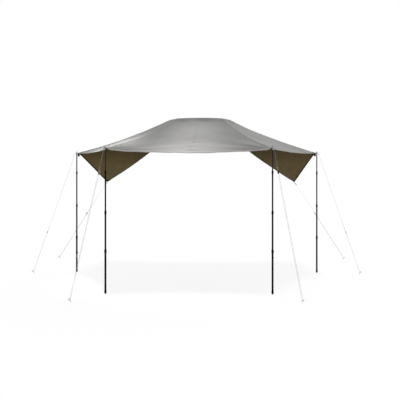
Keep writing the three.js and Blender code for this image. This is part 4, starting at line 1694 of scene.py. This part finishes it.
# %% The spare line
HANK_TURNS = 6
HANK_HALF_LENGTH = 0.020
HANK_HALF_WIDTH = 0.0035
HANK_RAISED = 0.004
HANK_ASIDE = 0.0095
corner = corners["near_left"]
route = line_path(corner)
beside = np.cross(route["up"], (0, 1, 0))
hank = []
for turns in (i / 24 for i in range(HANK_TURNS * 24 + 1)):
    angle = 2 * math.pi * turns
    along = (HANK_HALF_LENGTH + PITCH * turns) * math.cos(angle)
    wide = (HANK_HALF_WIDTH + PITCH * turns) * math.sin(angle) + HANK_RAISED
    aside = HANK_ASIDE + 0.0032 * min(1.0, 2 * turns) + 0.0002 * turns
    place = route["runner"] + route["up"] * along + np.array([0, -corner.side * aside, 0])
    hank.append(corner.world(*(place + beside * wide)))
cord_piece("near_left_spare_line", hank, body="near_left_tensioner", material=rope_tan)
print("spare line made of", len(hank), "points")

# %% [markdown]
# ## White surroundings
#
# The awning stands on a plain pale floor that shows almost white and keeps a soft shadow. A white
# picture behind it could do that, but then the zinc and the gloss of the cloth would mirror it in
# full. So the white is mixed in by the kind of ray: all of it for the camera and a quarter for
# glossy rays, while the surfaces are lit by a dimmer, plain surrounding.

# %% White for the camera
GLOSSY_SHARE = 0.25
FLOOR_HALF = 80
FLOOR_WHITE, FLOOR_GLOW = 0.70, 1.24
AMBIENT = 0.266


def white_for_camera(tree, surface, glow, share, strength=1.0):
    """Mixes a white glow into a surface for rays from the camera and clear surfaces, and a
    quarter as much of it for glossy ones."""
    path = tree.nodes.new("ShaderNodeLightPath")
    seen = math_node(tree, "MAXIMUM", path.outputs["Is Camera Ray"],
                     path.outputs["Is Transmission Ray"])
    glossy = math_node(tree, "MULTIPLY", path.outputs["Is Glossy Ray"], GLOSSY_SHARE)
    mixed = math_node(tree, "MULTIPLY", math_node(tree, "MAXIMUM", seen, glossy), share)
    white = add_node(tree, glow, {"Color": (1, 1, 1, 1), "Strength": strength})
    return add_node(tree, "ShaderNodeMixShader", {0: mixed, 1: surface, 2: white.outputs[0]}).outputs[0]


print("glossy rays see", GLOSSY_SHARE, "of the white")

# %% The floor
floor_mesh = bpy.data.meshes.new("floor")
floor_mesh.from_pydata([(-FLOOR_HALF, -FLOOR_HALF, 0), (FLOOR_HALF, -FLOOR_HALF, 0),
                        (FLOOR_HALF, FLOOR_HALF, 0), (-FLOOR_HALF, FLOOR_HALF, 0)], [], [(0, 1, 2, 3)])
floor = bpy.data.objects.new("floor", floor_mesh)
bpy.context.scene.collection.objects.link(floor)
floor_look = Shader("floor", (0.8, 0.8, 0.8), 0.9)
tree = floor_look.tree
mixed = white_for_camera(tree, floor_look.surface.outputs[0], "ShaderNodeEmission", FLOOR_WHITE,
                         FLOOR_GLOW)
tree.links.new(mixed, tree.nodes["Material Output"].inputs["Surface"])
floor_mesh.materials.append(floor_look.material)
print("floor:", 2 * FLOOR_HALF, "m wide")

# %% The surroundings
world = bpy.data.worlds.new("studio")
world.use_nodes = True
bpy.context.scene.world = world
tree = world.node_tree
ambient = tree.nodes["Background"]
ambient.inputs["Color"].default_value = (0.97, 0.98, 1.0, 1)
ambient.inputs["Strength"].default_value = AMBIENT
mixed = white_for_camera(tree, ambient.outputs[0], "ShaderNodeBackground", 1.0)
tree.links.new(mixed, tree.nodes["World Output"].inputs["Surface"])
print("surroundings at", AMBIENT)

# %% [markdown]
# ## Lamps
#
# A sun overhead gives most of the light and the soft shadow between the poles, and two broad ones
# behind add a little more. One lamp could light the cloth evenly, but the photograph has a soft
# bright streak up the front panel from its hem. Two narrow strips over its middle make that, and a
# third one brightens the left side panel.

# %% Lamps
STRIP_HEIGHT = 5.4


def lamp(name, kind, place, aim, strength, **settings):
    """A lamp at a place, turned to its aim. A sun only takes its direction from them."""
    data = bpy.data.lights.new(name, kind)
    data.energy = strength
    for key, value in settings.items():
        setattr(data, key, value)
    obj = bpy.data.objects.new(name, data)
    obj.location = place
    obj.rotation_euler = (Vector(aim) - Vector(place)).to_track_quat("-Z", "Y").to_euler()
    bpy.context.scene.collection.objects.link(obj)


def sun(name, azimuth, elevation, strength, wide=40):
    turn, rise = math.radians(azimuth), math.radians(elevation)
    toward = Vector((math.sin(turn) * math.cos(rise), math.cos(turn) * math.cos(rise), math.sin(rise)))
    lamp(name, "SUN", toward * 30, (0, 0, 0), strength, angle=math.radians(wide))


def strip(name, x, y, width, length, power, beam):
    """A long lamp over the canopy that shines straight down in a narrow beam."""
    lamp(name, "AREA", (x, y, STRIP_HEIGHT), (x, y, 0), power, shape="RECTANGLE", size=width,
         size_y=length, spread=math.radians(beam))


sun("overhead", azimuth=0, elevation=88, strength=0.70, wide=12)
sun("low_back", azimuth=0, elevation=18, strength=0.18)
sun("high_right", azimuth=30, elevation=40, strength=0.28)
strip("long_strip", x=-0.05, y=-0.4, width=0.3, length=2.6, power=4.6, beam=30)
strip("hem_strip", x=-0.10, y=-1.3, width=0.3, length=0.6, power=2.2, beam=34)
strip("side_strip", x=-1.35, y=-0.4, width=0.5, length=1.6, power=7.1, beam=20)
print("lamps:", [light.name for light in bpy.data.lights])

# %% [markdown]
# ## The last lines
#
# The picture is shown without a film look, so that the cloth's tones stay as they were set.

# %% The end
bpy.context.scene.view_settings.view_transform = "Standard"
